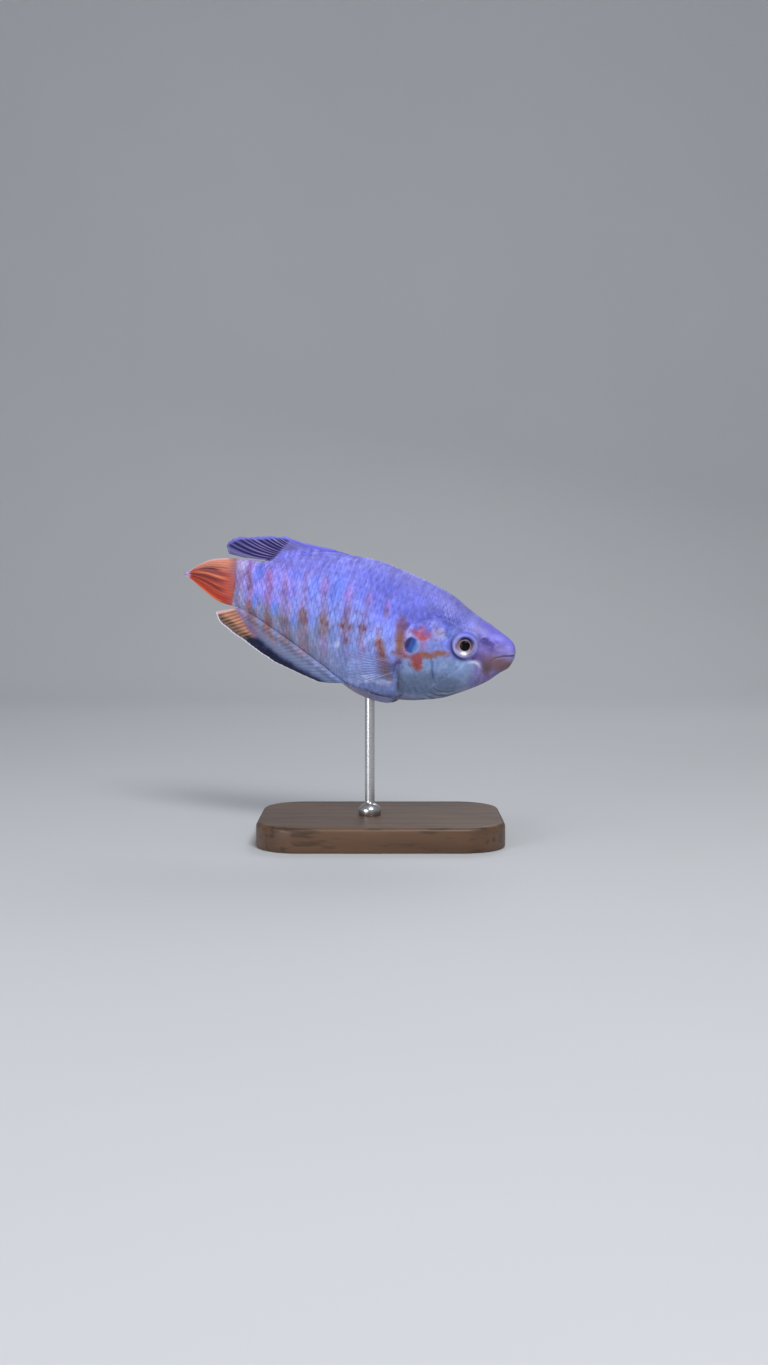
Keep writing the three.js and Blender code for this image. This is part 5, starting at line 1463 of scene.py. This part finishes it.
def pelvic(side, word):
    def spot(u, v):
        ray = rays(u, V_COUNT)
        v2 = v * (1 - 0.10 * (1 - ray) * smoothstep(0.3, 1, v) - 0.18 * smoothstep(0.25, 1.0, 1 - u) * 0)
        s = PEL["s"] + PEL["reach"] * v2 / SL
        tall = (PEL["root"] * (1 - v2) + PEL["tip"] * v2 + 0.5 * np.sin(np.pi * v2)) * smoothstep(-0.04, 0.24, v2)
        z = under_at(s, PEL["y"] - 0.3) - 0.02 - 0.2 * smoothstep(0, 0.2, v2) - tall * u - 0.2 * v2 + 0.8 * (1 - smoothstep(0, 0.16, v2))
        return s, z

    def point(u, v):
        s, z = spot(u, v)
        return place(s, side * (PEL["y"] + 0.12 * np.sin(u * 6 + v * 4) * v), z)

    def nrm(u, v):
        return across(spot(u, v)[0])

    def thick(u, v):
        ray = rays(u, V_COUNT, 1.2)
        return 0.05 + ray * (0.2 - 0.1 * v) + 0.3 * (1 - smoothstep(0, 0.3, v))

    def colour(u, v):
        ray = rays(u, V_COUNT, 1.0)
        n = cloud(u * 6, v * 12, 33)
        c = np.ones(u.shape + (3,)) * np.array([104, 112, 150.0])
        c = blend(c, (62, 64, 92), 0.6 * smoothstep(0.45, 0.1, ray) * smoothstep(0.05, 0.2, v))
        c = blend(c, (186, 176, 196), 0.75 * smoothstep(0.5, 0.95, ray) * (0.4 + 0.7 * n))
        c = blend(c, (158, 128, 144), 0.35 * smoothstep(0.35, 0.8, v))
        return c

    fin_mesh(f"pelvic_fin_{word}_vis", point, nrm, thick, colour, 61, 60, ray_look, [f"pelvic_fin_{word}"])


pelvic(-1, "right")
pelvic(1, "left")


# ---------------------------------------------------------------- eyes
def build_eye(side, word):
    c, f, u, o = EYES[side]
    r_e, d_e = EYE["r"], EYE["depth"]
    rs = np.concatenate([np.linspace(0.0, 0.9, 14), np.linspace(0.94, 1.3, 14), np.linspace(1.36, 2.8, 30)])[1:]
    ph = np.linspace(0, 2 * math.pi, 129)[:-1]
    Rr, Ph = np.meshgrid(rs, ph, indexing="ij")
    shell = d_e * np.sqrt(np.clip(1 - (Rr / r_e) ** 2, 0.0, 1))
    # the iris is a shallow dish inside a raised outer ring; the lens bulges through the pupil
    dish = -0.15 * smoothstep(1.85, 1.3, Rr) - 0.05 * bell(Rr - 1.04, 0.09)
    lens = 0.15 * np.sqrt(np.clip(1 - (Rr / 1.02) ** 2, 0, 1)) + 0.02
    fibre = 0.012 * np.sin(Ph * 46 + 3 * noise(Ph * 3, Rr * 2, 5)) * smoothstep(1.12, 1.3, Rr) * smoothstep(1.9, 1.6, Rr)
    ringed = 0.05 * bell(Rr - 1.13, 0.08) + 0.05 * bell(Rr - 1.85, 0.2)
    hgt = shell + dish + lens + fibre + ringed
    P = c + f * (Rr * np.cos(Ph))[..., None] + u * (Rr * np.sin(Ph))[..., None] + o * hgt[..., None]
    apex = c + o * (d_e - 0.15 + 0.17)
    deg = np.degrees(Ph)

    def sector(centre, wide):
        d = (deg - centre + 180) % 360 - 180
        return bell(d, wide)

    n = noise(Ph * 5, Rr * 3, 12 + side)
    col = np.ones(Rr.shape + (3,)) * np.array([132, 124, 164.0])
    outer = smoothstep(1.5, 1.75, Rr)
    col = blend(col, (116, 121, 240), outer * 0.95 * sector(88, 66))
    col = blend(col, (140, 146, 218), outer * 0.8 * sector(180, 50))
    col = blend(col, (150, 142, 206), outer * 0.6 * sector(0, 50))
    col = blend(col, (204, 202, 232), outer * 0.65 * sector(236, 42) * smoothstep(2.4, 2.05, Rr))
    col = blend(col, (166, 166, 216), 0.35 * bell(Rr - 2.15, 0.2))
    inner = smoothstep(1.72, 1.5, Rr)
    col = blend(col, (126, 82, 76), inner * 0.95 * sector(178, 42))
    col = blend(col, (104, 84, 86), inner * 0.85 * sector(10, 48))
    col = blend(col, (160, 150, 168), inner * 0.8 * sector(318, 26))
    col = blend(col, (150, 136, 176), inner * 0.9 * sector(232, 26))
    col = blend(col, (24, 22, 46), 0.98 * np.clip(1.5 * sector(88, 50), 0, 1) * bell(Rr - 1.5, 0.34))
    col = blend(col, (62, 48, 66), 0.8 * sector(38, 18) * bell(Rr - 1.55, 0.35))
    col = blend(col, (70, 48, 56), 0.7 * sector(196, 22) * bell(Rr - 1.78, 0.13))
    # painted highlight low in the iris
    col = blend(col, (255, 253, 255), np.clip(1.6 * sector(276, 22) * bell(Rr - 1.5, 0.42), 0, 1))
    col = blend(col, (166, 134, 136), 0.6 * bell(Rr - 1.12, 0.07))
    col = col * (0.94 + 0.12 * n)[..., None]
    col = blend(col, (2, 2, 4), smoothstep(1.05, 0.99, Rr))
    # painted shade: dark crescent of the socket's crease, deepest below and behind
    col = blend(col, (40, 42, 104), smoothstep(2.38, 2.6, Rr) * (0.1 + 0.9 * sector(232, 60)))
    m, k = Rr.shape
    # back of the ball, hidden in the socket
    back_r = np.array([2.8, 2.2, 1.2])
    back = [c + f * (r * np.cos(ph))[:, None] + u * (r * np.sin(ph))[:, None] - o * (d_e * 0.8 * math.sqrt(1 - (r / 3.1) ** 2)) for r in back_r]
    verts = np.concatenate([P.reshape(-1, 3), np.concatenate(back), apex[None], (c - o * d_e * 0.8)[None]])
    colours = np.concatenate([col.reshape(-1, 3), np.ones((3 * k, 3)) * 40, [[2, 2, 4]], [[40, 40, 40]]])
    quads = grid_faces(m + 3, k, wrap=True)
    a = (m + 3) * k
    j = np.arange(k)
    jn = (j + 1) % k
    caps = np.concatenate([np.stack([np.full(k, a), j, jn], -1), np.stack([np.full(k, a + 1), (m + 2) * k + jn, (m + 2) * k + j], -1)])
    ob = new_mesh(f"eye_{word}_vis", verts, [quads, caps], to_linear(colours))
    outward(ob)
    m_, nt, p = nodes_of(f"eye_{word}")
    colour = put(nt, "ShaderNodeVertexColor", layer_name="paint")
    coords = put(nt, "ShaderNodeTexCoord")
    fleck = put(nt, "ShaderNodeTexNoise", Scale=5200.0, Detail=2.0)
    nt.links.new(coords.outputs["Object"], fleck.inputs["Vector"])
    tone = put(nt, "ShaderNodeMapRange")
    tone.inputs["To Min"].default_value = 0.9
    tone.inputs["To Max"].default_value = 1.1
    nt.links.new(fleck.outputs["Fac"], tone.inputs["Value"])
    mul = put(nt, "ShaderNodeVectorMath", operation="SCALE")
    nt.links.new(colour.outputs["Color"], mul.inputs[0])
    nt.links.new(tone.outputs["Result"], mul.inputs["Scale"])
    nt.links.new(mul.outputs["Vector"], p.inputs["Base Color"])
    p.inputs["Roughness"].default_value = 0.3
    p.inputs["Coat Weight"].default_value = 0.3
    p.inputs["Coat IOR"].default_value = 1.34
    p.inputs["Coat Roughness"].default_value = 0.03
    p.inputs["Specular IOR Level"].default_value = 0.08
    ob.data.materials.append(m_)
    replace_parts(ob, f"eye_{word}")
    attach(ob, "root")


build_eye(-1, "right")
build_eye(1, "left")


# ---------------------------------------------------------------- stand
def outline(x, y, corner, inset, per=14):
    w, h, r = x / 2 - inset, y / 2 - inset, max(corner - inset, 0.2)
    pts = []
    for cx, cy, a0 in ((w - r, h - r, 0), (-w + r, h - r, 90), (-w + r, -h + r, 180), (w - r, -h + r, 270)):
        for t in np.linspace(a0, a0 + 90, per):
            pts.append((cx + r * math.cos(math.radians(t)), cy + r * math.sin(math.radians(t))))
    return np.array(pts)


def build_base():
    b = BASE
    levels = [(0.9, 0.0), (0.35, 0.0), (0.12, 0.06), (0.0, 0.25)]
    levels += [(0.0, b["z"] - 1.0)]
    levels += [(0.9 * (1 - math.cos(t)), b["z"] - 0.9 + 0.9 * math.sin(t)) for t in np.linspace(0, math.pi / 2, 9)]
    levels += [(1.4, b["z"])]
    rings = []
    for inset, z in levels:
        o = outline(b["x"], b["y"], b["corner"], inset)
        rings.append(np.column_stack([o, np.full(len(o), z)]))
    n = len(rings[0])
    verts = np.concatenate(rings)
    quads = grid_faces(len(rings), n, wrap=True)
    caps = [np.arange(n)[None, ::-1], (np.arange(n) + (len(rings) - 1) * n)[None]]
    ob = new_mesh("base_vis", verts, [quads] + caps)
    outward(ob)
    m, nt, p = nodes_of("walnut")
    co = put(nt, "ShaderNodeTexCoord")
    mp = put(nt, "ShaderNodeMapping")
    mp.inputs["Scale"].default_value = (22.0, 190.0, 190.0)
    nt.links.new(co.outputs["Object"], mp.inputs["Vector"])
    n1 = put(nt, "ShaderNodeTexNoise", Scale=1.0, Detail=6.0, Roughness=0.6, Distortion=0.6)
    nt.links.new(mp.outputs["Vector"], n1.inputs["Vector"])
    wave = put(nt, "ShaderNodeTexWave", Scale=0.3, Distortion=7.0, Detail=4.0)
    wave.bands_direction = "Y"
    nt.links.new(mp.outputs["Vector"], wave.inputs["Vector"])
    mixf = put(nt, "ShaderNodeMath", operation="MULTIPLY_ADD")
    mixf.inputs[1].default_value = 0.22
    nt.links.new(wave.outputs["Fac"], mixf.inputs[0])
    nt.links.new(n1.outputs["Fac"], mixf.inputs[2])
    ramp = put(nt, "ShaderNodeValToRGB")
    e = ramp.color_ramp.elements
    e[0].position, e[0].color = 0.25, (0.06, 0.03, 0.016, 1)
    e[1].position, e[1].color = 0.95, (0.15, 0.08, 0.042, 1)
    mid_e = e.new(0.62)
    mid_e.color = (0.105, 0.052, 0.027, 1)
    nt.links.new(mixf.outputs[0], ramp.inputs["Fac"])
    pores = put(nt, "ShaderNodeTexNoise", Scale=6.0, Detail=2.0)
    nt.links.new(mp.outputs["Vector"], pores.inputs["Vector"])
    pr = put(nt, "ShaderNodeMapRange")
    pr.inputs["From Min"].default_value = 0.36
    pr.inputs["From Max"].default_value = 0.46
    pr.inputs["To Min"].default_value = 0.55
    pr.inputs["To Max"].default_value = 1.0
    nt.links.new(pores.outputs["Fac"], pr.inputs["Value"])
    mul = put(nt, "ShaderNodeVectorMath", operation="SCALE")
    nt.links.new(ramp.outputs["Color"], mul.inputs[0])
    nt.links.new(pr.outputs["Result"], mul.inputs["Scale"])
    nt.links.new(mul.outputs["Vector"], p.inputs["Base Color"])
    bmp = put(nt, "ShaderNodeBump", Strength=0.25, Distance=0.0001)
    nt.links.new(pr.outputs["Result"], bmp.inputs["Height"])
    nt.links.new(bmp.outputs["Normal"], p.inputs["Normal"])
    rg = put(nt, "ShaderNodeMapRange")
    rg.inputs["To Min"].default_value = 0.36
    rg.inputs["To Max"].default_value = 0.52
    nt.links.new(n1.outputs["Fac"], rg.inputs["Value"])
    nt.links.new(rg.outputs["Result"], p.inputs["Roughness"])
    ob.data.materials.append(m)
    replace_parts(ob, "stand_base")
    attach(ob, "root")


def build_rod():
    x = _foot[0] - ANCHOR[0] + float(bottom(ROD_S)) * SL * math.sin(PITCH)
    x0, y0 = (place(ROD_S, 0.0, 0.0) + np.array([float(bottom(ROD_S)) * SL * math.sin(PITCH), 0, 0]))[:2]
    cad_lo_r, cad_hi_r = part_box("stand_rod")
    z1 = cad_hi_r.z / MM + 1.3  # runs on into the belly
    z0 = 4.9
    prof = [(0.0, z0), (2.1, z0), (2.3, 5.15), (2.3, 6.3), (2.22, 6.5), (1.9, 6.85), (1.72, 7.1), (1.3, 7.3), (1.12, 7.42), (1.0, 7.5)]
    prof += [(1.0, z) for z in np.linspace(8, z1, 26)] + [(0.0, z1)]
    prof = np.array(prof)
    k = 48
    t = np.linspace(0, 2 * math.pi, k + 1)[:-1]
    ring = np.stack([x0 + prof[1:-1, 0][:, None] * np.cos(t), y0 + prof[1:-1, 0][:, None] * np.sin(t), np.repeat(prof[1:-1, 1][:, None], k, 1)], -1)
    verts = np.concatenate([ring.reshape(-1, 3), [[x0, y0, z0]], [[x0, y0, z1]]])
    m = len(prof) - 2
    j = np.arange(k)
    jn = (j + 1) % k
    caps = np.concatenate([np.stack([np.full(k, m * k), jn, j], -1), np.stack([np.full(k, m * k + 1), (m - 1) * k + j, (m - 1) * k + jn], -1)])
    ob = new_mesh("rod_vis", verts, [grid_faces(m, k, wrap=True), caps])
    outward(ob)
    mt, nt, p = nodes_of("steel")
    p.inputs["Metallic"].default_value = 1.0
    co = put(nt, "ShaderNodeTexCoord")
    mp = put(nt, "ShaderNodeMapping")
    mp.inputs["Scale"].default_value = (300.0, 300.0, 9000.0)
    nt.links.new(co.outputs["Object"], mp.inputs["Vector"])
    n1 = put(nt, "ShaderNodeTexNoise", Scale=1.0, Detail=3.0)
    nt.links.new(mp.outputs["Vector"], n1.inputs["Vector"])
    rg = put(nt, "ShaderNodeMapRange")
    rg.inputs["To Min"].default_value = 0.2
    rg.inputs["To Max"].default_value = 0.4
    nt.links.new(n1.outputs["Fac"], rg.inputs["Value"])
    nt.links.new(rg.outputs["Result"], p.inputs["Roughness"])
    tone = put(nt, "ShaderNodeValToRGB")
    tone.color_ramp.elements[0].color = (0.5, 0.5, 0.51, 1)
    tone.color_ramp.elements[1].color = (0.68, 0.68, 0.69, 1)
    nt.links.new(n1.outputs["Fac"], tone.inputs["Fac"])
    nt.links.new(tone.outputs["Color"], p.inputs["Base Color"])
    bmp = put(nt, "ShaderNodeBump", Strength=0.15, Distance=0.00003)
    nt.links.new(n1.outputs["Fac"], bmp.inputs["Height"])
    nt.links.new(bmp.outputs["Normal"], p.inputs["Normal"])
    ob.data.materials.append(mt)
    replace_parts(ob, "stand_rod")
    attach(ob, "root")


build_base()
build_rod()

# ---------------------------------------------------------------- floor, light
def build_floor():
    xs = np.linspace(-1.6, 1.6, 3) * 1000
    ys = [-1300.0, 350.0] + [350 + 260 * math.sin(t) for t in np.linspace(0.1, math.pi / 2, 14)] + [610.0]
    zs = [0.0, 0.0] + [260 * (1 - math.cos(t)) for t in np.linspace(0.1, math.pi / 2, 14)] + [1500.0]
    verts = np.array([(x, y, z - 0.05) for y, z in zip(ys, zs) for x in xs])
    ob = new_mesh("floor", verts, [grid_faces(len(ys), len(xs))])
    m, nt, p = nodes_of("floor")
    co = put(nt, "ShaderNodeTexCoord")
    n1 = put(nt, "ShaderNodeTexNoise", Scale=9.0, Detail=2.0)
    nt.links.new(co.outputs["Object"], n1.inputs["Vector"])
    ramp = put(nt, "ShaderNodeValToRGB")
    ramp.color_ramp.elements[0].color = (0.60, 0.62, 0.65, 1)
    ramp.color_ramp.elements[1].color = (0.64, 0.66, 0.69, 1)
    nt.links.new(n1.outputs["Fac"], ramp.inputs["Fac"])
    nt.links.new(ramp.outputs["Color"], p.inputs["Base Color"])
    p.inputs["Roughness"].default_value = 0.7
    p.inputs["Specular IOR Level"].default_value = 0.2
    ob.data.materials.append(m)


build_floor()


def area(name, at, aim, size, watts, colour=(1, 1, 1)):
    d = bpy.data.lights.new(name, "AREA")
    d.shape = "SQUARE"
    d.size = size
    d.energy = watts
    d.color = colour
    o = bpy.data.objects.new(name, d)
    o.location = at
    o.rotation_euler = (Vector(aim) - Vector(at)).to_track_quat("-Z", "Y").to_euler()
    scene.collection.objects.link(o)


AIM = (-0.008, 0.0, 0.045)
area("key", (0.10, -0.32, 0.38), AIM, 0.16, 1.3)
area("fill", (-0.32, -0.38, 0.10), AIM, 0.22, 0.95)
area("back", (0.1, 0.36, 0.36), AIM, 0.2, 0.4)
world = bpy.data.worlds.new("studio")
scene.world = world
world.use_nodes = True
world.node_tree.nodes["Background"].inputs["Color"].default_value = (0.92, 0.95, 1.0, 1)
world.node_tree.nodes["Background"].inputs["Strength"].default_value = 0.3
scene.view_settings.view_transform = "Standard"
scene.view_settings.look = "None"
